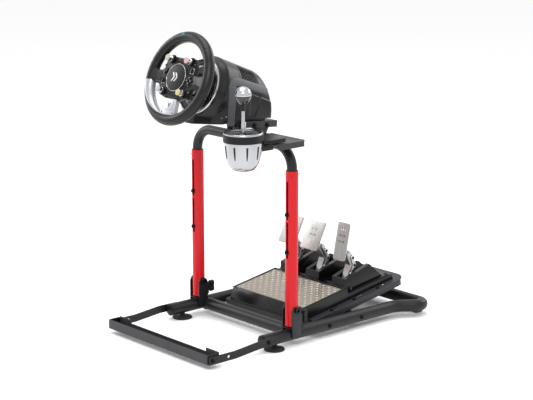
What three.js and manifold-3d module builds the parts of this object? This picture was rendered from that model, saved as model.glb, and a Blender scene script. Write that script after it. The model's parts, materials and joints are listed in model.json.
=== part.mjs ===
// Racing wheel rig: a folding tubular stand that carries a force-feedback wheel base with its
// steering wheel, an H-pattern gear shifter and an inclined three-pedal set.
// Millimetres. +X is the driver's right, +Y points away from the driver, +Z is up.
// The sub-parts are laid out from the post line (Y = 0) and the floor (Z = 0), and the whole
// rig is then moved along Y so that the origin lies under the middle of its bounding box.

import * as THREE from 'three';
import { mergeVertices } from 'three/addons/utils/BufferGeometryUtils.js';
import Module from 'manifold-3d';

const wasm = await Module();
wasm.setup();

// ---------------------------------------------------------------- driving dimensions
const GAP = 0.3; // clearance between touching pieces

const TUBE = { radius: 19, wall: 2, height: 35, sideX: 217 }; // base frame tube and its centre line
const BASE = { frontY: -114, crossY: 18, strutY: 275, splayY: 440, cornerX: 288, rearY: 530 };
const FOOT = { y: -68, radius: 31, thickness: 5, stem: 6 };
const PAD = { x: 212, length: 50, width: 28 };

const BRACKET = { halfY: 17, bottom: 28, top: 122, plate: 4, web: 3, pivotZ: 112 };
const PIVOT_RADIUS = 5;
const KNOB = { z: 85, y: 38, depth: 16, radius: 16, lobe: 4 };

const POST = { bottom: 62, top: 530, radius: 19, wall: 2 };
const SLOT = { width: 9, spans: [[268, 378], [385, 500]] };
const HOOP = { radius: 15.2, wall: 2, crossZ: 598.5, bend: 65, legZ: 272 };

const BAR = { frontY: -338, depth: 44, low: 15.7, high: 45, wall: 3, halfX: 235.6 };
const ARM = { inner: 236.3, plate: 4, halfHeight: 12, rearY: -72 };

const DECK = { y: 86, z: 39, tilt: 9.5, length: 440, halfX: 190, sheet: 2.5, flange: 20 };
const TRAY = { halfX: 165, heel: 206, heelTop: 39, end: 402, top: 18 };
const POD = { spacing: 120, halfX: 30, slotX: 16, slotFrom: 216.5, slotTo: 342 };
const PEDAL = { pivotY: 226, pivotZ: 28, armHalfX: 12, bar: 5, face: 4 };

const MOUNT_TILT = -5; // the wheel deck leans down to the rear
const DECK_PIVOT = { y: 18, z: 645 };
const PLATFORM = { halfX: 88, sheet: 3, frontU: -81, rearU: 39, top: 12.7, skirt: -7 }; // wheel deck
const WHEEL = { y: -241.5, z: 798.8, rake: 22.1, radius: 124, grip: 16 };
const HOUSING = { floorZ: 667, wall: 4, split: 150, rear: 276, radius: 100, halfX: 96, bezel: 77 };
const PULLEY = { s: 166, depth: 14, column: 42, motor: 10, motorUp: 58, belt: 1.6 };

const SHIFTER = { x: 206, y: -177, gateZ: 661, radius: 56.5, leverPivot: 52, rod: 3.5 };
const GATE = { lane: 13, throw: 13, halfSlot: 4.9 };
const SHELF = { z: 622, sheet: 3, right: 267.6, left: 112, frontY: -103, rearY: -2 };

// ---------------------------------------------------------------- materials
const finish = (color, roughness, metalness) =>
  new THREE.MeshStandardMaterial({ color, roughness, metalness });

const satinBlack = finish(0x3c3d40, 0.45, 0.4);
const postRed = finish(0xd8242c, 0.35, 0.3);
const zincSteel = finish(0xb9bcc0, 0.35, 0.9);
const deckGrey = finish(0x57585a, 0.5, 0.4);
const blackPlastic = finish(0x1e1e1e, 0.6, 0.0);
const housingGrey = finish(0x3a3a3c, 0.55, 0.0);
const rubber = finish(0x232323, 0.85, 0.0);
const gripBlack = finish(0x2e2e30, 0.55, 0.0);
const treadPlate = finish(0xa79f94, 0.35, 0.9);
const brushedMetal = finish(0xa8a6a1, 0.4, 0.9);
const polished = finish(0xd5d5d2, 0.12, 1.0);
const capGreen = finish(0xcfe0c4, 0.3, 0.1);
const capPink = finish(0xe3bcc4, 0.3, 0.1);
const capBlue = finish(0xc9dde2, 0.3, 0.1);
const capYellow = finish(0xe3e0a4, 0.3, 0.1);

// ---------------------------------------------------------------- scene helpers
const rig = new THREE.Group();
const rad = THREE.MathUtils.degToRad;

/** Names a geometry, gives it a material and hangs it in a group. */
function addPart(name, geometry, material, parent = rig) {
  const mesh = new THREE.Mesh(geometry, material);
  mesh.name = name;
  parent.add(mesh);
  return mesh;
}

/** A nested frame at a point, turned about X. */
function frameAt(x, y, z, tiltX, parent = rig) {
  const group = new THREE.Group();
  group.position.set(x, y, z);
  group.rotation.x = rad(tiltX);
  parent.add(group);
  return group;
}

// ---------------------------------------------------------------- solid helpers
/** Turns a closed three.js geometry into a manifold solid. */
function solid(geometry) {
  const bare = geometry.clone();
  for (const key of Object.keys(bare.attributes)) {
    if (key !== 'position') bare.deleteAttribute(key);
  }
  const merged = mergeVertices(bare, 1e-4);
  return new wasm.Manifold(new wasm.Mesh({
    numProp: 3,
    vertProperties: new Float32Array(merged.attributes.position.array),
    triVerts: new Uint32Array(merged.index.array),
  }));
}

/** Turns a manifold solid back into a geometry with flat-shaded normals. */
function skin(body) {
  const { numProp, vertProperties, triVerts } = body.getMesh();
  const points = new Float32Array((vertProperties.length / numProp) * 3);
  for (let i = 0; i < points.length / 3; i++) {
    points.set(vertProperties.subarray(i * numProp, i * numProp + 3), i * 3);
  }
  const geometry = new THREE.BufferGeometry();
  geometry.setAttribute('position', new THREE.BufferAttribute(points, 3));
  geometry.setIndex(new THREE.BufferAttribute(new Uint32Array(triVerts), 1));
  geometry.computeVertexNormals();
  return geometry;
}

/** The first geometry joined with the others. */
const join = (first, ...others) =>
  skin(others.reduce((body, other) => body.add(solid(other)), solid(first)));

/** The first geometry with the others cut away. */
const cut = (first, ...others) =>
  skin(others.reduce((body, other) => body.subtract(solid(other)), solid(first)));

/** A box given by its lowest and highest corners. */
function boxBetween(low, high) {
  const size = high.map((value, i) => value - low[i]);
  const middle = high.map((value, i) => (value + low[i]) / 2);
  return new THREE.BoxGeometry(...size).translate(...middle);
}

/** A cylinder along an axis, from one station on it to another. */
function rod(axis, radius, from, to, sides = 16) {
  const geometry = new THREE.CylinderGeometry(radius, radius, to - from, sides);
  geometry.translate(0, (from + to) / 2, 0);
  if (axis === 'x') geometry.rotateZ(-Math.PI / 2);
  if (axis === 'z') geometry.rotateX(Math.PI / 2);
  return geometry;
}

/** A body turned about Z from a profile of [radius, height] pairs. */
function turned(profile, sides = 24) {
  const points = profile.map(([radius, height]) => new THREE.Vector2(radius, height));
  return new THREE.LatheGeometry(points, sides).rotateX(Math.PI / 2);
}

/** A flat plate from an outline (points or a Shape), lying in XY, raised along Z. */
function plate(outline, thickness, curveSegments = 6) {
  const shape = outline instanceof THREE.Shape
    ? outline
    : new THREE.Shape(outline.map(([x, y]) => new THREE.Vector2(x, y)));
  return new THREE.ExtrudeGeometry(shape, { depth: thickness, bevelEnabled: false, curveSegments });
}

/** A side profile of [y, z] pairs, extruded along X between two stations. */
function sideProfile(outline, fromX, toX) {
  const geometry = plate(outline, toX - fromX);
  geometry.rotateX(Math.PI / 2).rotateZ(Math.PI / 2);
  return geometry.translate(fromX, 0, 0);
}

/** Straight pipe runs joined by round bends, sampled only at the bends and the ends.
 *  A corner is [x, y, z, bend radius]; the two ends have no radius. */
class PipeRun extends THREE.Curve {
  constructor(corners, bendSteps = 5) {
    super();
    const points = corners.map(([x, y, z]) => new THREE.Vector3(x, y, z));
    this.stations = [];
    points.forEach((point, i) => {
      const before = i > 0 ? points[i - 1].clone().sub(point).normalize() : null;
      const after = i < points.length - 1 ? points[i + 1].clone().sub(point).normalize() : null;
      if (!before || !after) {
        const tangent = after ? after : before.clone().negate();
        this.stations.push({ point, tangent });
        return;
      }
      this.addBend(point, before, after, corners[i][3], bendSteps);
    });
  }

  /** Samples the arc that rounds one corner. */
  addBend(corner, before, after, radius, steps) {
    const turn = Math.PI - before.angleTo(after);
    const centre = before.clone().add(after).normalize()
      .multiplyScalar(radius / Math.cos(turn / 2)).add(corner);
    const start = corner.clone().addScaledVector(before, radius * Math.tan(turn / 2));
    const axis = before.clone().negate().cross(after).normalize();
    for (let i = 0; i <= steps; i++) {
      const angle = (turn * i) / steps;
      const point = start.clone().sub(centre).applyAxisAngle(axis, angle).add(centre);
      const tangent = before.clone().negate().applyAxisAngle(axis, angle);
      this.stations.push({ point, tangent });
    }
  }

  get steps() { return this.stations.length - 1; }

  getPointAt(u) { return this.stations[Math.round(u * this.steps)].point.clone(); }

  getTangentAt(u) { return this.stations[Math.round(u * this.steps)].tangent.clone(); }
}

/** A round pipe along a run. With a wall it is hollow and open at both ends. */
function pipe(run, radius, wall = 0, sides = 14) {
  const ring = (r, n) => Array.from({ length: n }, (_, i) =>
    new THREE.Vector2(r * Math.cos((2 * Math.PI * i) / n), r * Math.sin((2 * Math.PI * i) / n)));
  const section = new THREE.Shape(ring(radius, sides));
  if (wall > 0) section.holes.push(new THREE.Path(ring(radius - wall, sides)));
  return new THREE.ExtrudeGeometry(section, { steps: run.steps, extrudePath: run });
}

// ---------------------------------------------------------------- base frame
/** Centre line of the U-shaped base tube, from the left front end to the right one. */
function basePath() {
  const { sideX, height } = TUBE;
  const half = (side) => [
    [side * sideX, BASE.frontY, height],
    [side * sideX, BASE.splayY, height, 80],
    [side * BASE.cornerX, BASE.rearY, height, 25],
  ];
  return new PipeRun([...half(-1), ...half(1).reverse()]);
}

/** Welded base frame: the U-shaped tube, the front cross tube and the pedal deck's strut. */
function makeBaseFrame() {
  const tube = pipe(basePath(), TUBE.radius, TUBE.wall);
  const reach = TUBE.sideX - TUBE.radius + 1.5;
  const crossRun = new PipeRun([-reach, reach].map((x) => [x, BASE.crossY, TUBE.height]));
  const cross = pipe(crossRun, TUBE.radius, TUBE.wall);
  const strut = rod('x', 11, -reach, reach).translate(0, BASE.strutY, TUBE.height);
  const ears = [-1, 1].map((side) => sideProfile([
    [BASE.strutY - 16, 63.5], [BASE.strutY - 8, 30], [BASE.strutY + 8, 30], [BASE.strutY + 16, 69],
  ], side * 150 - 2, side * 150 + 2));
  addPart('base_frame', join(tube, cross, strut, ...ears), satinBlack);
}

/** Rubber pads under the rear corners. */
function makeRearPads() {
  for (const [side, name] of [[-1, 'rear_pad_left'], [1, 'rear_pad_right']]) {
    const x = side * PAD.x;
    const pad = boxBetween(
      [x - PAD.length / 2, BASE.rearY - PAD.width / 2, 0],
      [x + PAD.length / 2, BASE.rearY + PAD.width / 2, 26],
    );
    const seat = pipe(basePath(), TUBE.radius + GAP);
    addPart(name, cut(pad, seat), rubber);
  }
}

/** Screw-in levelling feet under the front ends of the side tubes. */
function makeLevellingFeet() {
  const top = TUBE.height - TUBE.radius - GAP;
  const { radius, thickness, stem } = FOOT;
  const profile = [[0, 0], [radius - 2, 0], [radius, 1.5], [radius, thickness - 1],
    [radius - 3, thickness], [stem, thickness + 2], [stem, top], [0, top]];
  for (const [side, name] of [[-1, 'levelling_foot_left'], [1, 'levelling_foot_right']]) {
    addPart(name, turned(profile).translate(side * TUBE.sideX, FOOT.y, 0), rubber);
  }
}

// ---------------------------------------------------------------- post brackets
/** Outline of one bracket cheek: square foot, round top. */
function cheekOutline() {
  const { halfY, bottom, top } = BRACKET;
  const shape = new THREE.Shape();
  shape.moveTo(-halfY, bottom);
  shape.lineTo(halfY, bottom);
  shape.lineTo(halfY, 64);
  shape.lineTo(22.3, 68);
  shape.lineTo(22.3, 96);
  shape.lineTo(halfY, 101);
  shape.absarc(0, top - halfY, halfY, 0, Math.PI, false);
  return shape;
}

/** Pivot brackets, their hinge bolts and the star knobs that lock the posts upright. */
function makePostBrackets() {
  const inner = TUBE.radius + GAP;
  const outer = inner + BRACKET.plate;
  for (const [side, hand] of [[-1, 'left'], [1, 'right']]) {
    const place = (geometry) => geometry.translate(side * TUBE.sideX, 0, 0);
    const cheeks = [-outer, inner].map((x) => {
      const cheek = plate(cheekOutline(), BRACKET.plate);
      return cheek.rotateX(Math.PI / 2).rotateZ(Math.PI / 2).translate(x, 0, 0);
    });
    const webZ = TUBE.height + TUBE.radius + GAP;
    const web = boxBetween([-outer + 1, -BRACKET.halfY, webZ], [outer - 1, BRACKET.halfY, webZ + BRACKET.web]);
    const back = boxBetween([-outer + 1, TUBE.radius + GAP, 68], [outer - 1, 22.3, 96]);
    const joined = join(cheeks[0], cheeks[1], web, back);
    const pivotHole = rod('x', PIVOT_RADIUS + 0.6, -30, 30).translate(0, 0, BRACKET.pivotZ);
    const screwHole = rod('y', 5.6, 15, 30).translate(0, 0, KNOB.z);
    const crossTube = rod('x', TUBE.radius + 1, Math.min(0, -side * 40), Math.max(0, -side * 40));
    crossTube.translate(0, BASE.crossY, TUBE.height);
    addPart(`post_bracket_${hand}`, place(cut(joined, pivotHole, screwHole, crossTube)), satinBlack);

    const bolt = turned([[0, -30], [9, -30], [9, -outer - GAP], [PIVOT_RADIUS, -outer - GAP],
      [PIVOT_RADIUS, outer + GAP], [9, outer + GAP], [9, 30], [0, 30]], 12);
    bolt.rotateY(Math.PI / 2).translate(0, 0, BRACKET.pivotZ);
    addPart(`pivot_bolt_${hand}`, place(bolt), zincSteel);
    addPart(`lock_knob_${hand}`, place(starKnob()), blackPlastic);
  }
}

/** Three-lobed knob on its screw, pointing along Y. */
function starKnob() {
  const count = 30;
  const outline = Array.from({ length: count }, (_, i) => {
    const angle = (2 * Math.PI * i) / count;
    const radius = KNOB.radius + KNOB.lobe * Math.sin(3 * angle);
    return [radius * Math.cos(angle), radius * Math.sin(angle)];
  });
  const head = plate(outline, KNOB.depth).rotateX(-Math.PI / 2).translate(0, KNOB.y, 0);
  const screw = rod('y', 5, TUBE.radius + 0.6, KNOB.y + 1, 12);
  return join(head, screw).translate(0, 0, KNOB.z);
}

// ---------------------------------------------------------------- posts and hoop
/** Slotted red posts that fold on the base brackets. */
function makePosts() {
  for (const [side, hand] of [[-1, 'left'], [1, 'right']]) {
    const run = new PipeRun([[0, 0, POST.bottom], [0, 0, POST.top]]);
    const tube = pipe(run, POST.radius, POST.wall, 18);
    const slots = SLOT.spans.map(([low, high]) => join(
      boxBetween([-SLOT.width / 2, -25, low + SLOT.width / 2], [SLOT.width / 2, -5, high - SLOT.width / 2]),
      rod('y', SLOT.width / 2, -25, -5, 10).translate(0, 0, low + SLOT.width / 2),
      rod('y', SLOT.width / 2, -25, -5, 10).translate(0, 0, high - SLOT.width / 2),
    ));
    const pivotHole = rod('x', PIVOT_RADIUS + 0.6, -30, 30).translate(0, 0, BRACKET.pivotZ);
    const post = cut(tube, ...slots, pivotHole);
    addPart(`post_${hand}`, post.translate(side * TUBE.sideX, 0, 0), postRed);
  }
}

/** Height-adjustable hoop: two legs inside the posts and the crossbar over them. */
function makeHoop() {
  const x = TUBE.sideX;
  const run = new PipeRun([[-x, 0, HOOP.legZ], [-x, 0, HOOP.crossZ, HOOP.bend],
    [x, 0, HOOP.crossZ, HOOP.bend], [x, 0, HOOP.legZ]], 7);
  addPart('hoop_tube', pipe(run, HOOP.radius, HOOP.wall, 16), satinBlack);
}

// ---------------------------------------------------------------- footrest
/** Floor-level front bar with its raised tabs, and the two arms that carry it. */
function makeFootrest() {
  const { frontY, depth, low, high, wall, halfX } = BAR;
  const back = frontY + depth;
  const channel = sideProfile([[frontY, low], [back, low], [back, high - 9], [back - wall, high - 9],
    [back - wall, low + wall], [frontY + wall, low + wall], [frontY + wall, high], [frontY, high]],
  -halfX, halfX);
  const tabs = [-1, 1].map((side) => {
    const inner = side * (halfX - 58);
    const outer = side * halfX;
    return boxBetween([Math.min(inner, outer), back - wall, low + 1], [Math.max(inner, outer), back, high + 2]);
  });
  addPart('footrest_bar', join(channel, ...tabs), satinBlack);

  const centre = [[frontY + 3, 27], [-236, 27], [-142, 36], [ARM.rearY, 36]];
  const upper = centre.map(([y, z]) => [y, z + ARM.halfHeight]).reverse();
  const lower = centre.map(([y, z]) => [y, z - ARM.halfHeight]);
  for (const [side, hand] of [[-1, 'left'], [1, 'right']]) {
    const from = side > 0 ? ARM.inner : -ARM.inner - ARM.plate;
    const bar = sideProfile([...lower, ...upper], from, from + ARM.plate);
    const hole = rod('x', 4.5, -300, 300, 10).translate(0, -262, 27);
    addPart(`footrest_arm_${hand}`, cut(bar, hole), satinBlack);
  }
}

// ---------------------------------------------------------------- pedals
/** Folded sheet deck, the moulded pedal base with three pods, and the tread plate. */
function makePedalDeck(deck) {
  const { length, halfX, sheet, flange } = DECK;
  const rearRadius = 40;
  const corner = [0, 18, 36, 54, 72, 90].map((angle) => [
    halfX - rearRadius * (1 - Math.cos(rad(angle))), length - rearRadius * (1 - Math.sin(rad(angle)))]);
  const outline = [[-halfX, 0], [halfX, 0], ...corner, ...corner.map(([x, y]) => [-x, y]).reverse()];
  const block = plate(outline, flange).translate(0, 0, -flange);
  const pocket = boxBetween([-halfX + sheet, sheet, -flange - 1], [halfX - sheet, length - sheet, -sheet]);
  const holes = [-1, 1].flatMap((side) => [90, 190, 290].map((y) => boxBetween(
    [side * 170 - 3, y + 40, -9], [side * 170 + 3, y + 66, 3])));
  addPart('pedal_deck', cut(block, pocket, ...holes), deckGrey, deck);

  const base = sideProfile([[1, GAP], [TRAY.end, GAP], [TRAY.end - 6, TRAY.top], [TRAY.heel, TRAY.top],
    [TRAY.heel - 4, TRAY.heelTop], [20, TRAY.heelTop], [1, 8]], -TRAY.halfX, TRAY.halfX);
  const pods = [-1, 0, 1].map((place) => sideProfile([[200, 6], [376, 6], [366, 23], [322, 75],
    [214, 61], [209, 40], [200, 38]],
  place * POD.spacing - POD.halfX, place * POD.spacing + POD.halfX));
  const wells = [-1, 0, 1].map((place) => boxBetween(
    [place * POD.spacing - POD.slotX, POD.slotFrom, 7],
    [place * POD.spacing + POD.slotX, POD.slotTo, 90]));
  const pins = rod('x', 4.6, -TRAY.halfX + 8, TRAY.halfX - 8, 10).translate(0, PEDAL.pivotY, PEDAL.pivotZ);
  const recess = boxBetween([-TRAY.halfX + 7, 24, TRAY.heelTop - 2.5], [TRAY.halfX - 7, 197, 60]);
  const trayOnly = cut(join(base, ...pods), ...wells, recess);
  addPart('pedal_base', join(trayOnly, pins), blackPlastic, deck);

  const treadLow = [-TRAY.halfX + 7 + GAP, 24 + GAP, TRAY.heelTop - 2.5 + GAP];
  const treadHigh = [TRAY.halfX - 7 - GAP, 197 - GAP, TRAY.heelTop + 1];
  addPart('heel_plate', boxBetween(treadLow, treadHigh), treadPlate, deck);
}

/** Outline of a bent flat bar: each point moved half a thickness to both sides of the line. */
function barOutline(line, thickness) {
  const points = line.map(([y, z]) => new THREE.Vector2(y, z));
  const sides = [[], []];
  points.forEach((point, i) => {
    const into = point.clone().sub(points[Math.max(i - 1, 0)]).normalize();
    const out = points[Math.min(i + 1, points.length - 1)].clone().sub(point).normalize();
    const along = into.add(out).normalize();
    const stretch = i > 0 && i < points.length - 1 ? 1 / along.dot(out) : 1;
    const across = new THREE.Vector2(-along.y, along.x).multiplyScalar((thickness / 2) * stretch);
    sides[0].push([point.x + across.x, point.y + across.y]);
    sides[1].unshift([point.x - across.x, point.y - across.y]);
  });
  return [...sides[0], ...sides[1]];
}

/** The three pedals: a bent bar on the pivot pin and a flat foot plate on its end. */
function makePedals() {
  const tilt = rad(DECK.tilt);
  const pivotY = DECK.y + PEDAL.pivotY * Math.cos(tilt) - PEDAL.pivotZ * Math.sin(tilt);
  const pivotZ = DECK.z + PEDAL.pivotY * Math.sin(tilt) + PEDAL.pivotZ * Math.cos(tilt);
  const wide = { foot: [-36, 102], head: [6, 187], halfX: 39, shift: 0 };
  const narrow = { foot: [-18, 86], head: [6, 203], halfX: 26, shift: 0 };
  const pedals = [['clutch', -1, { ...wide, shift: 17 }], ['brake', 0, wide], ['throttle', 1, narrow]];
  for (const [name, place, face] of pedals) {
    const pedal = frameAt(place * POD.spacing, pivotY, pivotZ, 0);
    const foot = new THREE.Vector2(...face.foot);
    const head = new THREE.Vector2(...face.head);
    const along = head.clone().sub(foot).normalize();
    const away = new THREE.Vector2(along.y, -along.x);
    const behind = (fraction) => foot.clone().lerp(head, fraction)
      .addScaledVector(away, (PEDAL.face + PEDAL.bar) / 2 + GAP).toArray();
    const line = [[2.5, 6.5], [25, 66], behind(0.36), behind(0.72)];
    const bar = sideProfile(barOutline(line, PEDAL.bar), -PEDAL.armHalfX, PEDAL.armHalfX);
    const boss = rod('x', 8.5, -PEDAL.armHalfX, PEDAL.armHalfX, 14);
    const bore = rod('x', 5.2, -20, 20, 12);
    addPart(`${name}_arm`, cut(join(bar, boss), bore), brushedMetal, pedal);
    const slab = sideProfile(barOutline([face.foot, face.head], PEDAL.face), face.shift - face.halfX,
      face.shift + face.halfX);
    addPart(`${name}_face`, slab, brushedMetal, pedal);
  }
}

// ---------------------------------------------------------------- wheel mount
/** Bracket welded on the crossbar, with two ears that the tilting deck is bolted to. */
function makeMountBracket() {
  const ear = [[-38, 640], [-18, 634], [-18, 602], [10, 602], [26, 634], [38, 640], [38, 647], [-38, 654]];
  const ears = [-54, 80].map((x) => sideProfile(ear, x, x + 4));
  const floor = boxBetween([-54, -18, 616], [84, 16, 620]);
  const tube = rod('x', HOOP.radius + GAP, -150, 150).translate(0, 0, HOOP.crossZ);
  const hinge = rod('x', 4.5, -99, 99, 10).translate(0, DECK_PIVOT.y, DECK_PIVOT.z - 3);
  addPart('wheel_mount_bracket', cut(join(ears[0], ears[1], floor), tube, hinge), satinBlack);
}

/** Folded deck that the wheel base is bolted to, in its own tilted frame. */
function makeWheelDeck(deck) {
  const { halfX, sheet, frontU, rearU, top, skirt } = PLATFORM;
  const block = boxBetween([-halfX, frontU, skirt], [halfX, rearU, top]);
  const pocket = boxBetween([-halfX + sheet, frontU - 5, skirt - 1], [halfX - sheet, rearU + 5, top - sheet]);
  const bolt = rod('x', 4.5, -110, 110, 10).translate(0, 0, -3);
  addPart('wheel_deck', cut(block, pocket, bolt), satinBlack, deck);
}

// ---------------------------------------------------------------- wheel base
// The column frame has its origin at the rim's centre, local Z towards the driver, local Y up.

/** Outer form of the housing: a drum round the column that squares off towards its floor. */
function housingForm(inset) {
  const r = HOUSING.radius - inset;
  const front = HOUSING.bezel + inset;
  const rear = HOUSING.rear - inset;
  const drum = turned([[0, -rear], [r - 3, -rear], [r, -rear + 6], [r, -104], [88 - inset, -front],
    [0, -front]], 28);
  const half = HOUSING.halfX - inset;
  const skirt = new THREE.Shape();
  skirt.moveTo(-half, -150);
  skirt.lineTo(half, -150);
  skirt.lineTo(half, -10);
  skirt.lineTo(half - 18, 40);
  skirt.lineTo(-half + 18, 40);
  skirt.lineTo(-half, -10);
  const box = plate(skirt, rear - 116 - inset).translate(0, 0, -rear);
  return solid(drum).add(solid(box));
}

/** The chin under the front bezel: its plan outline, raised from the floor. */
function chinForm(inset, toColumn) {
  const half = HOUSING.halfX - inset;
  const plan = [[-half, -90], [-half, -146 + inset], [-60, -184 + inset], [-26, -208 + inset],
    [26, -208 + inset], [60, -184 + inset], [half, -146 + inset], [half, -90]];
  const chin = plate(plan, 60).translate(0, 0, HOUSING.floorZ - 5).applyMatrix4(toColumn);
  return solid(chin).subtract(solid(boxBetween([-200, -300, -HOUSING.bezel - inset], [200, 300, 300])));
}

/** Two-piece housing shell, its sloping floor, and the drive inside it. */
function makeWheelBase(column) {
  const toColumn = new THREE.Matrix4().copy(column.matrixWorld).invert();
  const below = boxBetween([-200, -400, 500], [200, 200, HOUSING.floorZ]).applyMatrix4(toColumn);
  const inside = boxBetween([-200, -400, 500], [200, 200, HOUSING.floorZ - 1]).applyMatrix4(toColumn);
  const form = (inset) => housingForm(inset).add(chinForm(inset, toColumn));
  const shell = form(0).subtract(solid(below))
    .subtract(form(HOUSING.wall).subtract(solid(inside)))
    .subtract(solid(rod('z', 33, -100, -60, 20)));
  const half = (from, to) => skin(shell.intersect(solid(boxBetween([-200, -300, -to], [200, 200, -from]))));
  addPart('base_housing_front', half(0, HOUSING.split - GAP / 2), housingGrey, column);
  addPart('base_housing_rear', half(HOUSING.split + GAP / 2, 400), housingGrey, column);

  const { s, depth, column: big, motor: small, motorUp, belt } = PULLEY;
  addPart('column_pulley', ringBody(big, 9.4, 28).translate(0, 0, -s - depth), zincSteel, column);
  const motorPulley = turned([[0, 2], [small, 2], [small, depth], [0, depth]], 16);
  motorPulley.translate(0, motorUp, -s - depth);
  addPart('motor_pulley', motorPulley, zincSteel, column);
  const motor = turned([[0, -60], [30, -60], [30, 0], [12, 0], [12, 4], [4, 4], [4, 9], [0, 9]], 20);
  addPart('drive_motor', motor.translate(0, motorUp, -s - depth - 8), zincSteel, column);
  addPart('drive_belt', beltLoop(big + 0.5, small + 0.5, motorUp, belt, depth - 4)
    .translate(0, 0, -s - depth + 3), rubber, column);
}

/** A disc with a centre bore, lying on Z = 0. */
function ringBody(radius, bore, sides) {
  return turned([[bore, 0], [radius, 0], [radius, PULLEY.depth], [bore, PULLEY.depth], [bore, 0]], sides);
}

/** A flat belt round two pulleys, the small one straight above the big one. */
function beltLoop(big, small, spacing, thickness, width) {
  const loop = (extra) => {
    const lean = Math.asin((big - small) / spacing);
    const path = new THREE.Shape();
    path.absarc(0, 0, big + extra, Math.PI - lean, 2 * Math.PI + lean, false);
    path.absarc(0, spacing, small + extra, lean, Math.PI - lean, false);
    return path;
  };
  const shape = loop(thickness);
  shape.holes.push(new THREE.Path(loop(0).getPoints(12)));
  return plate(shape, width, 12);
}

/** Sloping plastic floor that seats the housing on the tilted deck. */
function makeBaseFloor(deck) {
  const slope = Math.tan(rad(MOUNT_TILT));
  const deckTop = (y) => DECK_PIVOT.z + 13.1 + slope * (y - DECK_PIVOT.y) + GAP;
  const top = HOUSING.floorZ - GAP;
  const wedge = sideProfile([[-60, deckTop(-60)], [14, deckTop(14)], [14, top], [-150, top],
    [-150, top - 2]], -84, 84);
  addPart('base_floor', wedge.translate(0, -DECK_PIVOT.y, -DECK_PIVOT.z)
    .rotateX(-rad(MOUNT_TILT)), blackPlastic, deck);
}

// ---------------------------------------------------------------- steering wheel
/** A slice of a flat ring between two radii and two angles, closed through extra points. */
function ringSlice(inner, outer, from, to) {
  const shape = new THREE.Shape();
  shape.absarc(0, 0, outer, rad(from), rad(to), false);
  shape.absarc(0, 0, inner, rad(to), rad(from), true);
  return shape;
}

/** Rim, spokes, button plate, hub and the column behind them. */
function makeSteeringWheel(column) {
  addPart('wheel_rim', new THREE.TorusGeometry(WHEEL.radius, WHEEL.grip, 10, 44), gripBlack, column);

  const reach = WHEEL.radius - WHEEL.grip - 0.6;
  const face = new THREE.Shape();
  face.moveTo(34, 60);
  face.lineTo(58, 62);
  face.lineTo(66, 42);
  face.lineTo(72, 15);
  face.absarc(0, 0, reach, rad(7), rad(-11), true);
  face.lineTo(74, -26);
  face.lineTo(62, -54);
  face.lineTo(40, -60);
  face.lineTo(24, -64);
  const right = face.getPoints(3).map((point) => [point.x, point.y]);
  const left = [...right].reverse().map(([x, y]) => [-x, y]);
  const slab = plate([...right, ...left].reverse(), 13).translate(0, 0, -6.5);
  addPart('button_plate', slab, blackPlastic, column);

  const web = plate([[-25, -64.4], [-33, -101], [30, -101], [25, -64.4]], 13).translate(0, 0, -6.5);
  const arc = plate(ringSlice(reach - 9, reach, 195, 290), 13, 10).translate(0, 0, -6.5);
  addPart('lower_spoke', join(web, arc), brushedMetal, column);

  const cap = turned([[0, 6.8], [46, 6.8], [46, 9], [38, 14], [34, 15], [0, 16]], 28);
  addPart('hub_cap', cap, blackPlastic, column);

  const shaft = turned([[0, -190], [9, -190], [9, -78], [31, -78], [31, -52], [26, -48], [26, -6.8],
    [0, -6.8]], 20);
  addPart('column_shaft', shaft, zincSteel, column);
}

/** Shift paddles, rotary knobs, direction pad, mini sticks and action buttons. */
function makeWheelControls(column) {
  for (const [side, hand] of [[-1, 'left'], [1, 'right']]) {
    const outline = [[31, -14], [44, -20], [92, -26], [97, 8], [92, 34], [44, 22], [31, 16]];
    const mirrored = outline.map(([x, y]) => [side * x, y]);
    const blade = plate(side > 0 ? mirrored : mirrored.reverse(), 3).translate(0, 0, -22);
    addPart(`shift_paddle_${hand}`, blade, brushedMetal, column);

    const stick = turned([[0, 8.3], [4.5, 8.3], [4, 12], [8, 13.6], [7, 16.4], [0, 17.4]], 14);
    addPart(`mini_stick_${hand}`, stick.translate(side * 57, side > 0 ? 26 : -14, 0), zincSteel, column);
  }
  const knob = (radius) => turned([[0, 6.8], [radius, 6.8], [radius, 12], [radius - 1.5, 13],
    [radius - 1.5, 28], [radius - 3, 29.5], [0, 29.5]], 18);
  const dials = [['top_left', -43, 51, capGreen], ['top_right', 43, 51, capPink],
    ['bottom_left', -46, -43, capBlue], ['bottom_right', 46, -43, capYellow]];
  for (const [place, x, y, material] of dials) {
    addPart(`rotary_knob_${place}`, knob(10.5).translate(x, y, 0), material, column);
  }
  const arm = 10;
  const half = 3.4;
  const cross = plate([[half, half], [half, arm], [-half, arm], [-half, half], [-arm, half], [-arm, -half],
    [-half, -half], [-half, -arm], [half, -arm], [half, -half], [arm, -half], [arm, half]], 5);
  addPart('direction_pad', cross.translate(-57, 16, 8.3), blackPlastic, column);
  for (const [place, x, y] of [['up', 0, 8], ['down', 0, -8], ['left', -8, 0], ['right', 8, 0]]) {
    const button = turned([[0, 8.5], [3.4, 8.5], [3.4, 11.8], [2.6, 12.6], [0, 12.6]], 12);
    addPart(`action_button_${place}`, button.translate(58 + x, -3 + y, 0), blackPlastic, column);
  }
}

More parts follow.
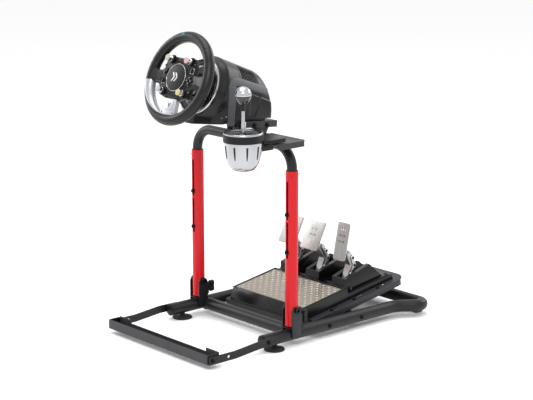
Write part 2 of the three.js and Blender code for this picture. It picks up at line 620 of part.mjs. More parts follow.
// ---------------------------------------------------------------- shifter
/** Sheet shelf bolted over the hoop's right bend. */
function makeShifterShelf() {
  const { z, sheet, right, left, frontY, rearY } = SHELF;
  const outline = [[left, 14], [left, -18], [168, -30], [176, frontY], [262, frontY], [right, frontY + 8],
    [right, rearY + 4], [right - 12, 14]];
  const sheetPlate = plate(outline.reverse(), sheet).translate(0, 0, z);
  const flange = boxBetween([right - 2.5, frontY + 8, z - 14], [right, rearY + 4, z + 1]);
  const saddle = boxBetween([left, -13, HOOP.crossZ + HOOP.radius + GAP], [150, 13, z + 1]);
  const holes = [[200, -14], [232, -14], [216, -30]].map(([x, y]) => rod('z', 3, 600, 640, 10)
    .translate(x, y, 0));
  addPart('shifter_shelf', cut(join(sheetPlate, flange, saddle), ...holes), deckGrey);
}

/** Shifter body, gate and the lever on its two-way pivot. */
function makeShifter() {
  const { x, y, gateZ, radius, leverPivot, rod: rodRadius } = SHIFTER;
  const shifter = frameAt(x, y, gateZ, 0);
  const bowl = turned([[54, -24.3], [51, -58], [45, -88], [33, -104], [16, -110], [0, -110], [0, -107],
    [15, -107], [31, -101.5], [42.5, -86.5], [48.5, -58], [51, -24.3], [54, -24.3]].reverse(), 24);
  addPart('shifter_body', bowl, polished, shifter);

  const collar = rod('z', radius + 1, -24, -3.3, 24);
  const clampArm = plate([[-41, 40], [44, 40], [54, 60], [54, 112], [40, 126], [-41, 126]], 10);
  const clampBack = boxBetween([-50, 60, -58], [12, 68, -24]);
  const clampJaw = boxBetween([-50, 60, -60], [12, 104, -43]);
  const bore = join(rod('z', 51, -30, 0, 24), rod('z', 55, -70, -24.1, 24));
  const clamp = cut(join(collar, clampArm.translate(0, 0, -31.4), clampBack, clampJaw), bore);
  addPart('shifter_clamp', clamp, blackPlastic, shifter);

  const disc = rod('z', radius, -3, 0, 28);
  const { lane, throw: reach, halfSlot } = GATE;
  const slots = [-lane, 0, lane].map((along) => boxBetween(
    [along - halfSlot, -reach - halfSlot, -10], [along + halfSlot, reach + halfSlot, 10]));
  const channel = boxBetween([-lane - halfSlot, -halfSlot, -10], [lane + halfSlot, halfSlot, 10]);
  addPart('gate_plate', cut(disc, ...slots, channel), polished, shifter);

  const pivot = frameAt(0, 0, -leverPivot, 0, shifter);
  const ring = turned([[14, -5], [19, -5], [19, 5], [14, 5], [14, -5]], 20);
  addPart('gimbal_ring', skin(solid(ring).add(solid(rod('y', 3, 17, 44.6, 10)))
    .add(solid(rod('y', 3, -44.6, -17, 10)))), zincSteel, pivot);
  const lever = join(rod('z', rodRadius, -16, leverPivot + 91, 14), rod('x', 3, -13, 13, 10),
    rod('z', 6, -9, 14, 12), rod('z', 5.5, leverPivot + 15, leverPivot + 79, 14));
  addPart('shift_lever', lever, polished, pivot);
  const knob = turned([[5, 81], [9, 82.5], [15, 88], [21.5, 97], [24, 105], [24, 111], [22, 120],
    [17, 127.5], [9, 131.6], [0, 132.5], [0, 92], [5, 92], [5, 81]], 24);
  addPart('shift_knob', knob.translate(0, 0, leverPivot), polished, pivot);
}

// ---------------------------------------------------------------- assembly
makeBaseFrame();
makeRearPads();
makeLevellingFeet();
makePostBrackets();
makePosts();
makeHoop();
makeFootrest();

const pedalDeckFrame = frameAt(0, DECK.y, DECK.z, DECK.tilt);
makePedalDeck(pedalDeckFrame);
makePedals();

makeMountBracket();
const wheelDeckFrame = frameAt(0, DECK_PIVOT.y, DECK_PIVOT.z, MOUNT_TILT);
makeWheelDeck(wheelDeckFrame);
makeBaseFloor(wheelDeckFrame);

const columnFrame = frameAt(0, WHEEL.y, WHEEL.z, 90 - WHEEL.rake);
columnFrame.updateMatrixWorld(true);
makeWheelBase(columnFrame);
makeSteeringWheel(columnFrame);
makeWheelControls(columnFrame);

makeShifterShelf();
makeShifter();

// The origin goes under the middle of the rig's length.
rig.position.y = -(BAR.frontY + BASE.rearY + TUBE.radius) / 2;

export default rig;
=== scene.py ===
"""A folding racing-wheel rig: stand, wheel base, steering wheel, gear shifter and pedals."""

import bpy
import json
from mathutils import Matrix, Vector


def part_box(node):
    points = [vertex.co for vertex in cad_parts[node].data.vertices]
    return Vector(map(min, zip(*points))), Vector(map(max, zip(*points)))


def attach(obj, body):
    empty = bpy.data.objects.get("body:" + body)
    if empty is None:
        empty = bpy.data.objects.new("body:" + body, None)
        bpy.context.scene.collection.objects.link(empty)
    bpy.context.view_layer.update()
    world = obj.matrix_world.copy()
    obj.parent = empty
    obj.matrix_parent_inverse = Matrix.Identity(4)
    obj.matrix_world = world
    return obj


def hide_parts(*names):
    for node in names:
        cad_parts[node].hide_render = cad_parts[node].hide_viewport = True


bl_info = {
    "name": "Racing Wheel Rig",
    "version": (1, 0, 0),
    "blender": (4, 5, 0),
    "location": "View3D > Sidebar > Wheel Rig",
    "description": "Builds the finished surfaces of a racing wheel rig round its packed solids",
    "category": "Object",
}

import json
import math

import bmesh
import bpy
import numpy as np
from bpy.props import FloatProperty, FloatVectorProperty, PointerProperty
from mathutils import Vector

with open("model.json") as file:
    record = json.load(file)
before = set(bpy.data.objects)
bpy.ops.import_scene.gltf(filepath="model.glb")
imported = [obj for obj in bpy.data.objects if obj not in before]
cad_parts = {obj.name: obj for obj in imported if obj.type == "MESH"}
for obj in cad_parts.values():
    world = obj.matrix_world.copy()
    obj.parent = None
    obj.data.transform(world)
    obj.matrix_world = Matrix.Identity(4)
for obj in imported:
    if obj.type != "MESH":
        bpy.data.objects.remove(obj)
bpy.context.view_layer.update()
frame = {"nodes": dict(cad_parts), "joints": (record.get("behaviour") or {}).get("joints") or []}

MM = 0.001
EDGE_STEPS = 3
SHARP_EDGE = 28  # degrees, above which a bevel rounds an edge
DRESSED_ANGLE = 24  # degrees, above which a dressed node stays sharp
JOINTS = {joint["name"]: joint for joint in frame["joints"]}


# ---------------------------------------------------------------- places
class Place:
    """A local frame of millimetres: an origin in metres and three unit axes."""

    def __init__(self, origin, tilt=0.0):
        """Axes are the row frame's, turned by tilt degrees about X."""
        turn = math.radians(tilt)
        self.origin = np.array(origin, float)
        self.axes = np.array([
            [1, 0, 0],
            [0, math.cos(turn), math.sin(turn)],
            [0, -math.sin(turn), math.cos(turn)],
        ])

    def __call__(self, points):
        """origin + points x axes, from millimetres to metres."""
        return self.origin + np.asarray(points, float) * MM @ self.axes


def middle(node):
    """The middle of a CAD node's box."""
    low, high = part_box(node)
    return (low + high) / 2


POST_Y = middle("post_left").y
WHEEL_AXIS = Vector(JOINTS["steering_turn"]["axis"])
RAKE = math.degrees(math.asin(WHEEL_AXIS.z))
RIG = Place((0, POST_Y, 0))
COLUMN = Place(JOINTS["steering_turn"]["pos_m"], 90 - RAKE)
PEDAL_DECK = Place((0, POST_Y + 0.086, 0.039), 9.5)
WHEEL_DECK = Place((0, POST_Y + 0.018, 0.645), -5)
SHIFTER = Place((0.206, POST_Y - 0.177, 0.661))
SIDE_X = middle("post_right").x / MM


# ---------------------------------------------------------------- curves and outlines
def fillet(corners, radius, steps=5):
    """Rounds a closed outline: each corner becomes an arc between its tangent points."""
    points = np.asarray(corners, float)
    radii = np.broadcast_to(np.asarray(radius, float), len(points))
    rounded = []
    for i, corner in enumerate(points):
        before = points[i - 1] - corner
        after = points[(i + 1) % len(points)] - corner
        before_length, after_length = np.linalg.norm(before), np.linalg.norm(after)
        before, after = before / before_length, after / after_length
        half = math.acos(np.clip(before @ after, -1, 1)) / 2
        if radii[i] <= 0 or half > 1.55:
            rounded.append(corner[None])
            continue
        reach = min(radii[i] / math.tan(half), before_length * 0.49, after_length * 0.49)
        r = reach * math.tan(half)
        centre = corner + (before + after) / np.linalg.norm(before + after) * (r / math.sin(half))
        start, end = corner + before * reach - centre, corner + after * reach - centre
        t = np.linspace(0, 1, steps + 1)[:, None]
        sweep = math.pi - 2 * half
        arc = (np.sin((1 - t) * sweep) * start + np.sin(t * sweep) * end) / math.sin(sweep)
        rounded.append(centre + arc)
    return np.concatenate(rounded)


def bent_line(corners, radii, spacing=4.0):
    """An open line through corners rounded by arcs, resampled at an even spacing."""
    points = np.asarray(corners, float)
    closed = np.concatenate([points, points[::-1][1:-1]])
    full = [0, *radii, 0]
    back = full[::-1][1:-1]
    curve = fillet(closed, np.array([*full, *back]), 14) if len(points) > 2 else points
    end = np.argmin(np.linalg.norm(curve - points[-1], axis=1))
    curve = curve[:end + 1]
    length = np.concatenate([[0], np.cumsum(np.linalg.norm(np.diff(curve, axis=0), axis=1))])
    at = np.linspace(0, length[-1], max(2, int(length[-1] / spacing)))
    return np.stack([np.interp(at, length, curve[:, k]) for k in range(3)], 1)


def circle(radius, sides):
    """radius times (cos a, sin a) for evenly spaced angles."""
    angle = np.arange(sides) * 2 * np.pi / sides
    return np.stack([radius * np.cos(angle), radius * np.sin(angle)], 1)


def lobed(radius, wave, count, sides, phase=0.0):
    """A wavy circle: radius + wave cos(count a - phase) in the direction a."""
    angle = np.arange(sides) * 2 * np.pi / sides
    return (radius + wave * np.cos(count * angle - phase))[:, None] * circle(1, sides)


def oblong(low_x, low_y, high_x, high_y):
    """The four corners of a rectangle."""
    return [(low_x, low_y), (high_x, low_y), (high_x, high_y), (low_x, high_y)]


def square(centre, half_x, half_y):
    """The four corners of a rectangle about its middle."""
    x, y = centre
    return oblong(x - half_x, y - half_y, x + half_x, y + half_y)


def inset(outline, distance):
    """Moves a closed outline inwards: each point goes along the mean of its edges' normals."""
    ring = np.asarray(outline, float)
    edge = np.roll(ring, -1, 0) - ring
    edge /= np.linalg.norm(edge, axis=1)[:, None] + 1e-12
    area = np.sum(ring[:, 0] * np.roll(ring[:, 1], -1) - np.roll(ring[:, 0], -1) * ring[:, 1])
    normal = np.stack([-edge[:, 1], edge[:, 0]], 1) * np.sign(area)
    both = normal + np.roll(normal, 1, 0)
    stretch = np.clip(np.sum(both * normal, 1), 0.5, None)[:, None]
    return ring + both / stretch * distance


# ---------------------------------------------------------------- surfaces
def quads(rows, columns, wrap_rows=False, wrap_columns=True):
    """The four-sided faces of a grid of points, in one array."""
    row = np.arange(rows if wrap_rows else rows - 1)
    column = np.arange(columns if wrap_columns else columns - 1)
    i, j = np.meshgrid(row, column, indexing="ij")
    i2, j2 = (i + 1) % rows, (j + 1) % columns
    faces = [i * columns + j, i2 * columns + j, i2 * columns + j2, i * columns + j2]
    return np.stack(faces, -1).reshape(-1, 4)


def grid(points, wrap_rows=False, caps=True):
    """A surface over a (rows, columns, 3) array, with flat ends where the rows are open."""
    rows, columns = points.shape[:2]
    faces = quads(rows, columns, wrap_rows).tolist()
    if caps and not wrap_rows:
        faces.append(list(range(columns)))
        faces.append(list(range((rows - 1) * columns, rows * columns)))
    return points.reshape(-1, 3), faces


def turned(profile, sides, ring=False):
    """(r cos a, r sin a, z) for each [r, z] of the profile. A ring's profile closes on itself."""
    outline = np.asarray(profile, float)
    unit = circle(1, sides)
    around = outline[:, 0, None, None] * unit[None]
    height = np.broadcast_to(outline[:, 1, None, None], around.shape[:2] + (1,))
    return grid(np.concatenate([around, height], 2), wrap_rows=ring, caps=False)


def disc(radius, low, high, sides):
    """A plain cylinder about Z."""
    return turned([[0, low], [radius, low], [radius, high], [0, high]], sides)


def slab(outline, low, high, edge):
    """A flat plate: the outline is inset by edge (1 - sin a) as it nears either face."""
    a = np.linspace(0, np.pi / 2, EDGE_STEPS + 1)
    inward = edge * (1 - np.sin(a))
    rise = edge * (1 - np.cos(a))
    distances = np.concatenate([inward, inward[::-1]])
    heights = np.concatenate([low + rise, (high - rise)[::-1]])
    rings = [np.column_stack([inset(outline, d), np.full(len(outline), z)])
             for d, z in zip(distances, heights)]
    return grid(np.array(rings))


def swept(path, section, up):
    """A closed section carried along a flat path: path + a (up x tangent) + b up."""
    line = np.asarray(path, float)
    tangent = np.gradient(line, axis=0)
    tangent /= np.linalg.norm(tangent, axis=1)[:, None]
    raised = np.asarray(up, float)
    side = np.cross(raised, tangent)
    ring = np.asarray(section, float)
    points = line[:, None] + ring[None, :, :1] * side[:, None] + ring[None, :, 1:] * raised
    return grid(points)


def pipe(path, radius, wall, up, sides=48):
    """A hollow tube along a flat path: its outside, then back along its inside."""
    outer, _ = swept(path, circle(radius, sides), up)
    inner, _ = swept(path, circle(radius - wall, sides), up)
    both = np.concatenate([outer.reshape(-1, sides, 3), inner.reshape(-1, sides, 3)[::-1]])
    return grid(both, wrap_rows=True)


def moved(shape, offset, axis=None):
    """The same shape shifted, with its Z axis first turned onto x, y, -x, -y or -z if asked."""
    points, faces = shape
    turns = {
        "x": [[0, 1, 0], [0, 0, 1], [1, 0, 0]],
        "-x": [[0, -1, 0], [0, 0, 1], [-1, 0, 0]],
        "y": [[0, 0, 1], [1, 0, 0], [0, 1, 0]],
        "-y": [[0, 0, 1], [-1, 0, 0], [0, -1, 0]],
        "-z": [[1, 0, 0], [0, -1, 0], [0, 0, -1]],
        None: np.eye(3),
    }
    return points @ np.array(turns[axis], float) + np.array(offset, float), faces


def side_slab(outline, low_x, high_x, edge=0.8):
    """A plate whose [y, z] outline is carried along X."""
    points, faces = slab(outline, low_x, high_x, edge)
    return points[:, [2, 0, 1]], faces


# ---------------------------------------------------------------- pieces
def close_up(mesh):
    """Merges doubled points at poles and seams and turns the faces outwards."""
    work = bmesh.new()
    work.from_mesh(mesh)
    bmesh.ops.remove_doubles(work, verts=work.verts, dist=2e-6)
    bmesh.ops.dissolve_degenerate(work, edges=work.edges, dist=1e-7)
    bmesh.ops.recalc_face_normals(work, faces=work.faces)
    work.to_mesh(mesh)
    work.free()


def shade(mesh, angle):
    """Smooth shading that stays sharp where faces meet above an angle in degrees."""
    mesh.shade_smooth()
    mesh.set_sharp_from_angle(angle=math.radians(angle))


def raw_piece(name, shapes, place):
    """One object from several shapes, its points in the row frame."""
    points, faces, first = [], [], 0
    for shape_points, shape_faces in shapes:
        points.append(place(shape_points))
        faces += [[index + first for index in face] for face in shape_faces]
        first += len(shape_points)
    mesh = bpy.data.meshes.new(name)
    mesh.from_pydata(np.concatenate(points).tolist(), [], faces)
    close_up(mesh)
    piece = bpy.data.objects.new(name, mesh)
    bpy.context.scene.collection.objects.link(piece)
    return piece


def settle(piece, body, material, stands_for, angle):
    """Gives a piece its finish, its body and the CAD nodes that it stands for."""
    shade(piece.data, angle)
    piece.data.materials.clear()
    piece.data.materials.append(material)
    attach(piece, body)
    if stands_for:
        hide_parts(*stands_for)
    return piece


def add_piece(name, shapes, place, body, material, stands_for=(), angle=38):
    """Builds a piece from shapes in a place's millimetres and settles it."""
    return settle(raw_piece(name, shapes, place), body, material, stands_for, angle)


def bake(piece):
    """Replaces a piece's mesh with the result of its modifiers."""
    bpy.context.view_layer.update()
    seen = piece.evaluated_get(bpy.context.evaluated_depsgraph_get())
    mesh = bpy.data.meshes.new_from_object(seen)
    piece.modifiers.clear()
    piece.data = mesh


def carve(piece, cutters):
    """Cuts closed shapes, given as raw pieces, out of a piece, one after another."""
    for cutter in cutters:
        cut = piece.modifiers.new("cut", "BOOLEAN")
        cut.operation = "DIFFERENCE"
        cut.solver = "EXACT"
        cut.object = cutter
    bake(piece)
    for cutter in cutters:
        bpy.data.objects.remove(cutter)


def soften(piece, edge):
    """Rounds every sharp edge by a bevel of the given width in mm."""
    bevel = piece.modifiers.new("edges", "BEVEL")
    bevel.width = edge * MM
    bevel.segments = 2
    bevel.limit_method = "ANGLE"
    bevel.angle_limit = math.radians(SHARP_EDGE)
    bevel.use_clamp_overlap = True
    bake(piece)


def dressed(node, body, material, edge):
    """A merged copy of a CAD sheet, block or moulding with rounded edges."""
    mesh = frame["nodes"][node].data.copy()
    piece = bpy.data.objects.new(f"{node}_finished", mesh)
    bpy.context.scene.collection.objects.link(piece)
    work = bmesh.new()
    work.from_mesh(mesh)
    bmesh.ops.remove_doubles(work, verts=work.verts, dist=2e-5)
    bmesh.ops.dissolve_limit(work, angle_limit=math.radians(1), verts=work.verts, edges=work.edges)
    work.to_mesh(mesh)
    work.free()
    soften(piece, edge)
    return settle(piece, body, material, (node,), DRESSED_ANGLE)


# ---------------------------------------------------------------- material helpers
def linear(code):
    """Linear red, green and blue from an sRGB hex value."""
    value = np.array([int(code[i:i + 2], 16) / 255 for i in (1, 3, 5)])
    low, high = value / 12.92, ((value + 0.055) / 1.055) ** 2.4
    return tuple(np.where(value <= 0.04045, low, high).tolist())


def add(tree, kind, settings=None, links=None):
    """Adds a shader node, sets its properties or sockets, and links its inputs."""
    made = tree.nodes.new(kind)
    for key, value in (settings or {}).items():
        if isinstance(key, str) and key not in made.inputs and hasattr(made, key):
            setattr(made, key, value)
        else:
            made.inputs[key].default_value = value
    for key, source in (links or {}).items():
        tree.links.new(source, made.inputs[key])
    return made


def finish(name, colour, metallic, roughness, grain, depth, pattern="noise", shift=0.12,
           stretch=(1, 1, 1), **sockets):
    """One real finish. Grain and depth are in mm. Roughness is a [smooth, rough] pair that large
    soft patches move between, and shift is how far those patches darken the colour."""
    known = bpy.data.materials.get(name)
    if known:
        return known
    material = bpy.data.materials.new(name)
    material.use_nodes = True
    tree = material.node_tree
    surface = tree.nodes["Principled BSDF"]
    surface.inputs["Metallic"].default_value = metallic
    for key, value in sockets.items():
        surface.inputs[key.replace("_", " ")].default_value = value
    where = add(tree, "ShaderNodeTexCoord")
    scaled = add(tree, "ShaderNodeMapping", {"Scale": stretch}, {"Vector": where.outputs["Object"]})
    if pattern == "cells":
        texture = add(tree, "ShaderNodeTexVoronoi", {"Scale": 1 / (grain * MM)},
                      {"Vector": scaled.outputs[0]})
        height = texture.outputs["Distance"]
    else:
        texture = add(tree, "ShaderNodeTexNoise", {"Scale": 1 / (grain * MM), "Detail": 3},
                      {"Vector": scaled.outputs[0]})
        height = texture.outputs["Fac"]
    patches = add(tree, "ShaderNodeTexNoise", {"Scale": 16, "Detail": 4},
                  {"Vector": where.outputs["Object"]})
    rough = add(tree, "ShaderNodeMapRange", {"From Min": 0.35, "From Max": 0.65,
                "To Min": roughness[0], "To Max": roughness[1]}, {"Value": patches.outputs["Fac"]})
    tree.links.new(rough.outputs[0], surface.inputs["Roughness"])
    dark = tuple(channel * (1 - shift) for channel in colour)
    tint = add(tree, "ShaderNodeMix", {"data_type": "RGBA", 6: (*colour, 1), 7: (*dark, 1)},
               {0: patches.outputs["Fac"]})
    tree.links.new(tint.outputs[2], surface.inputs["Base Color"])
    bump = add(tree, "ShaderNodeBump", {"Strength": 1.0, "Distance": depth * MM}, {"Height": height})
    tree.links.new(bump.outputs[0], surface.inputs["Normal"])
    return material


# ---------------------------------------------------------------- materials
def colour_of(field):
    """A colour from the scene's rig settings."""
    return tuple(getattr(bpy.context.scene.rig_colours, field))


def black_powder_coat():
    """Polyester powder coat on steel tube: satin black with a fine orange peel."""
    return finish("black_powder_coat", colour_of("frame"), 0.0, (0.32, 0.38), 1.4, 0.03,
                  Specular_IOR_Level=0.28)


def red_powder_coat():
    """Gloss red powder coat: strong colour under a clear, slightly wavy top."""
    return finish("red_powder_coat", colour_of("posts"), 0.0, (0.2, 0.22), 3.0, 0.002, shift=0.02,
                  Specular_IOR_Level=0.24)


def grey_powder_coat():
    """Dark grey powder coat on folded sheet: duller than the tubes, with a fine texture."""
    return finish("grey_powder_coat", colour_of("sheet"), 0.0, (0.4, 0.48), 0.9, 0.04,
                  Specular_IOR_Level=0.3)


def moulded_abs():
    """Spark-eroded black ABS: an even fine grain that breaks up highlights."""
    return finish("moulded_abs", linear("#0e0e0e"), 0.0, (0.36, 0.46), 0.8, 0.03, "cells",
                  Specular_IOR_Level=0.25)


def housing_abs():
    """Painted ABS housing: dark grey, smooth satin, faint mottling."""
    return finish("housing_abs", colour_of("housing"), 0.0, (0.26, 0.32), 0.9, 0.015,
                  Specular_IOR_Level=0.3)


def arch_abs():
    """Lighter satin grey ABS of the side arch."""
    return finish("arch_abs", linear("#47484c"), 0.0, (0.34, 0.42), 0.9, 0.02,
                  Specular_IOR_Level=0.3)


def gloss_abs():
    """Polished black ABS of buttons and bezels: deep black with clear reflections."""
    return finish("gloss_abs", linear("#0e0e0f"), 0.0, (0.14, 0.22), 1.2, 0.01, Coat_Weight=0.4)


def pedal_abs():
    """Semi-gloss black ABS of the pedal base: dark, with clear highlights along its edges."""
    return finish("pedal_abs", linear("#080808"), 0.0, (0.24, 0.27), 0.8, 0.01, "cells",
                  Specular_IOR_Level=0.3)


def bowl_plate():
    """Satin nickel plate on the shifter's bowl: bright, with soft broad reflections."""
    return finish("bowl_plate", linear("#b3b5b8"), 1.0, (0.16, 0.22), 3.0, 0.01, shift=0.12)


def moulded_rubber():
    """Moulded rubber: black, dull, slightly pitted."""
    return finish("moulded_rubber", linear("#1a1a1a"), 0.0, (0.75, 0.9), 0.7, 0.08, "cells")


def grip_leather():
    """Smooth black leather: a grain of small cells, drawn 1.6 mm wide so that it shows."""
    return finish("grip_leather", colour_of("grip"), 0.0, (0.3, 0.38), 1.6, 0.04, "cells",
                  Specular_IOR_Level=0.32)


def tread_aluminium():
    """Rolled aluminium tread plate: bright bars on a scuffed, slightly warm sheet."""
    return finish("tread_aluminium", linear("#aaa196"), 1.0, (0.24, 0.4), 0.8, 0.03, shift=0.2)


def brushed_aluminium():
    """Brushed aluminium: lines along the plate's height, drawn 0.6 mm apart so that they show."""
    return finish("brushed_aluminium", linear("#9d9c99"), 1.0, (0.34, 0.42), 0.6, 0.03,
                  stretch=(1, 0.04, 0.04))


def cast_aluminium():
    """Die-cast aluminium: bright, coarse and uneven."""
    return finish("cast_aluminium", linear("#b4b6ba"), 1.0, (0.24, 0.4), 5.0, 0.4, shift=0.25)


def polished_chrome():
    """Polished chrome plate: mirror-like with the faintest waviness."""
    return finish("polished_chrome", linear("#c3c4c6"), 1.0, (0.06, 0.1), 9.0, 0.02, shift=0.06)


def satin_steel():
    """Turned bare steel: pale, with soft reflections."""
    return finish("satin_steel", linear("#b9bcc0"), 1.0, (0.25, 0.36), 0.8, 0.01)


def black_oxide():
    """Black-oxide steel of screws: near black, oily sheen."""
    return finish("black_oxide", linear("#1f1f21"), 0.8, (0.28, 0.4), 0.7, 0.01)


def silver_paint():
    """Silver metallic paint on plastic: pale grey, soft gloss."""
    return finish("silver_paint", colour_of("trim"), 0.55, (0.3, 0.4), 0.7, 0.01,
                  Coat_Weight=0.4, Coat_Roughness=0.15)


def tinted_cap(name, code):
    """Translucent-looking tinted cap of gloss plastic."""
    return finish(name, linear(code), 0.0, (0.18, 0.26), 1.2, 0.005, shift=0.05, Coat_Weight=0.5)


def pale_mark():
    """Pale blue stitched centre mark on the rim."""
    return finish("pale_mark", linear("#4e7d96"), 0.0, (0.5, 0.6), 0.8, 0.03)


def painted_shade_and_print():
    """Near black: painted shade inside sockets, holes, slots and vents, and the printed legend bars on the
    gate.
    """
    return finish("painted_shade_and_print", linear("#060606"), 0.0, (0.7, 0.8), 1.0, 0.01)


# ---------------------------------------------------------------- screws
def socket_head(radius, height):
    """A cap screw's head on Z = 0, with a chamfered rim and a round socket sunk into its top."""
    rim = height * 0.16
    return turned([[0, 0], [radius, 0], [radius, height - rim], [radius - rim, height],
                   [radius * 0.56, height], [radius * 0.5, height * 0.45], [0, height * 0.4]], 32)


def bolt(name, body, place, points, axis, radius, height, washer=0.0):
    """Like screws in one piece: heads on the given points, over washers if there are any."""
    shapes = []
    for point in points:
        shapes.append(moved(socket_head(radius, height), point, axis))
        if washer:
            shapes.append(moved(disc(washer, -0.1, 1.2, 32), point, axis))
    return add_piece(name, shapes, place, body, black_oxide(), angle=30)


# ---------------------------------------------------------------- stand
TUBE_Z = 35
CROSS_Y = 18
STRUT_Y = 275
PIVOT_Z = 112
WORD_SIDES = (("left", -1), ("right", 1))


def base_line():
    """The U-shaped centre line of the floor tube, from the left front end to the right one."""
    half = [(SIDE_X, -114, TUBE_Z), (SIDE_X, 440, TUBE_Z), (288, 530, TUBE_Z)]
    left = [(-x, y, z) for x, y, z in half]
    return bent_line([*left, *half[::-1]], [80, 25, 25, 80])


def build_floor_frame():
    """Floor tube, cross tube, strut, weld beads and the plugs in the tube's open ends."""
    radius = bpy.context.scene.rig_sizes.tube_radius / MM
    up = (0, 0, 1)
    reach = SIDE_X - radius + 1
    cross, strut = [bent_line([(-reach, y, TUBE_Z), (reach, y, TUBE_Z)], [])
                    for y in (CROSS_Y, STRUT_Y)]
    beads = [moved(turned([[size + 1.6 + 1.6 * c, 1.6 * s] for c, s in circle(1, 10)], 40, ring=True),
                   (side * (reach - 1), y, TUBE_Z), "x")
             for side in (-1, 1) for y, size in ((CROSS_Y, radius - 1), (STRUT_Y, 10))]
    ears = [side_slab(fillet([(259, 63), (267, 30), (283, 30), (291, 68)], 3), side * 150 - 2,
                      side * 150 + 2) for side in (-1, 1)]
    shapes = [pipe(base_line(), radius, 2, up), pipe(cross, radius, 2, up),
              swept(strut, circle(11, 32), up), *beads, *ears]
    add_piece("floor_frame_tubes", shapes, RIG, "base", black_powder_coat(),
              ("base_frame",))
    plug = turned([[0, -12], [radius - 2.2, -12], [radius - 2.2, 0], [radius, 0.4], [radius, 2.4],
                   [radius - 1.5, 4], [radius - 6, 5.2], [0, 5.6]], 48)
    plugs = [moved(plug, (side * SIDE_X, -114.4, TUBE_Z), "-y") for side in (-1, 1)]
    add_piece("floor_tube_end_plugs", plugs, RIG, "base", moulded_abs())
    outside = SIDE_X + radius - 0.6
    heads = [(side * outside, y, TUBE_Z) for side in (-1, 1) for y in (-87.5, 140.8, 275.5)]
    for side, axis, word in ((-1, "-x", "left"), (1, "x", "right")):
        mine = [point for point in heads if point[0] * side > 0]
        bolt(f"floor_frame_bolts_{word}", "base", RIG, mine, axis, 5.2, 5, 8)
        # Painted shade: the holes in the tube are shallow near-black dimples that stand for its dark
        # inside.
        holes = [moved(turned([[0, -2], [3.6, -2], [3.6, 0.9], [2.9, 1.1], [2.6, 0.2], [0, 0.2]], 24),
                       (side * outside, y, TUBE_Z), axis) for y in (-41.4, 206.7, 339.3, 407.9)]
        add_piece(f"floor_frame_hole_shade_{word}", holes, RIG, "base", painted_shade_and_print())


def build_feet():
    """Rubber rear pads, and levelling feet with their threaded stems and lock nuts."""
    for word, side in WORD_SIDES:
        dressed(f"rear_pad_{word}", "base", moulded_rubber(), 2.0)
        foot = turned([[0, 0], [29, 0], [30.4, 0.5], [31, 1.8], [31, 3.6], [30, 4.8], [27, 5.4],
                       [16, 7.2], [9, 8.2], [8, 9], [0, 9]], 72)
        stem = disc(5, 8, 15.6, 32)
        nut = turned([[0, 11.4], [8.6, 11.4], [8.6, 15.2], [7.8, 15.7], [0, 15.7]], 6)
        spot = (side * SIDE_X, -68, 0)
        body = f"levelling_foot_{word}"
        add_piece(f"levelling_foot_{word}_pad", [moved(foot, spot)], RIG, body,
                  moulded_rubber(), (body,))
        add_piece(f"levelling_foot_{word}_stem", [moved(stem, spot), moved(nut, spot)], RIG, body,
                  black_oxide(), angle=25)


def star_grip(depth):
    """A three-lobed grip: radius 16 + 4 sin 3a, closed by quarter-round edges of 3 mm."""
    return slab(lobed(16, 4, 3, 120, np.pi / 2), 0, depth, 3)


def build_brackets():
    """Folding brackets with their pivot bolts and the star knobs that lock the posts."""
    for word, side in WORD_SIDES:
        dressed(f"post_bracket_{word}", "base", black_powder_coat(), 0.9)
        head = turned([[0, 0], [9, 0], [9, 5], [8, 6.4], [5, 6.4], [4.6, 2.6], [0, 2.4]], 40)
        shapes = [moved(head, (side * SIDE_X + 23.4, 0, PIVOT_Z), "x"),
                  moved(head, (side * SIDE_X - 23.4, 0, PIVOT_Z), "-x"),
                  moved(disc(5, -1, 48, 32), (side * SIDE_X - 23.5, 0, PIVOT_Z), "x")]
        add_piece(f"post_pivot_bolt_{word}", shapes, RIG, "base", black_oxide(),
                  (f"pivot_bolt_{word}",), 30)
        spot = (side * SIDE_X, 38, 85)
        grip = moved(star_grip(16), spot, "y")
        centre = moved(turned([[0, 15], [6, 15], [6, 17.2], [5, 18], [0, 18]], 32), spot, "y")
        screw = moved(disc(5, -18.2, 0.6, 24), spot, "y")
        body = f"lock_knob_{word}"
        add_piece(f"lock_knob_{word}_grip", [grip, centre], RIG, body,
                  moulded_abs(), (body,))
        add_piece(f"lock_knob_{word}_screw", [screw], RIG, body, satin_steel())


def build_posts():
    """Red slotted posts, the sleeves in their tops, and the bolts that set the height."""
    for word, side in WORD_SIDES:
        line = np.array([(0, 0, z) for z in np.linspace(62, 530, 40)])
        points, faces = pipe(line, 19, 2, (0, 1, 0), 72)
        post = raw_piece(f"post_{word}_tube", [(points + (side * SIDE_X, 0, 0), faces)], RIG)
        cutters = []
        for low, high in ((268, 378), (385, 500)):
            outline = fillet(oblong(-4.5, low, 4.5, high), 4.45, 8)
            slot_points, slot_faces = slab(outline, 6, 30, 0.01)
            slot_points = slot_points[:, [0, 2, 1]] * (1, -1, 1) + (side * SIDE_X, 0, 0)
            cutters.append(raw_piece("cutter", [(slot_points, slot_faces)], RIG))
        pin = moved(disc(5.8, -30, 30, 32), (side * SIDE_X, 0, PIVOT_Z), "x")
        cutters.append(raw_piece("cutter", [pin], RIG))
        carve(post, cutters)
        settle(post, "posts", red_powder_coat(), (f"post_{word}",), 34)
        sleeve = turned([[15.5, 498], [16.7, 498], [16.7, 521], [15.5, 521]], 64, ring=True)
        add_piece(f"post_{word}_sleeve", [moved(sleeve, (side * SIDE_X, 0, 0))], RIG, "posts",
                  moulded_abs())
        spots = [(side * SIDE_X, -19.3, z) for z in (287, 400)]
        bolt(f"height_bolts_{word}", "upper", RIG, spots, "-y", 5.4, 5.4, 8)
        dot = turned([[0, -1], [2.2, -1], [2.2, 0.5], [0, 0.7]], 20)
        add_piece(f"post_{word}_set_screw", [moved(dot, (side * (SIDE_X + 13), -13.4, 515), "-y")],
                  RIG, "posts", black_oxide())


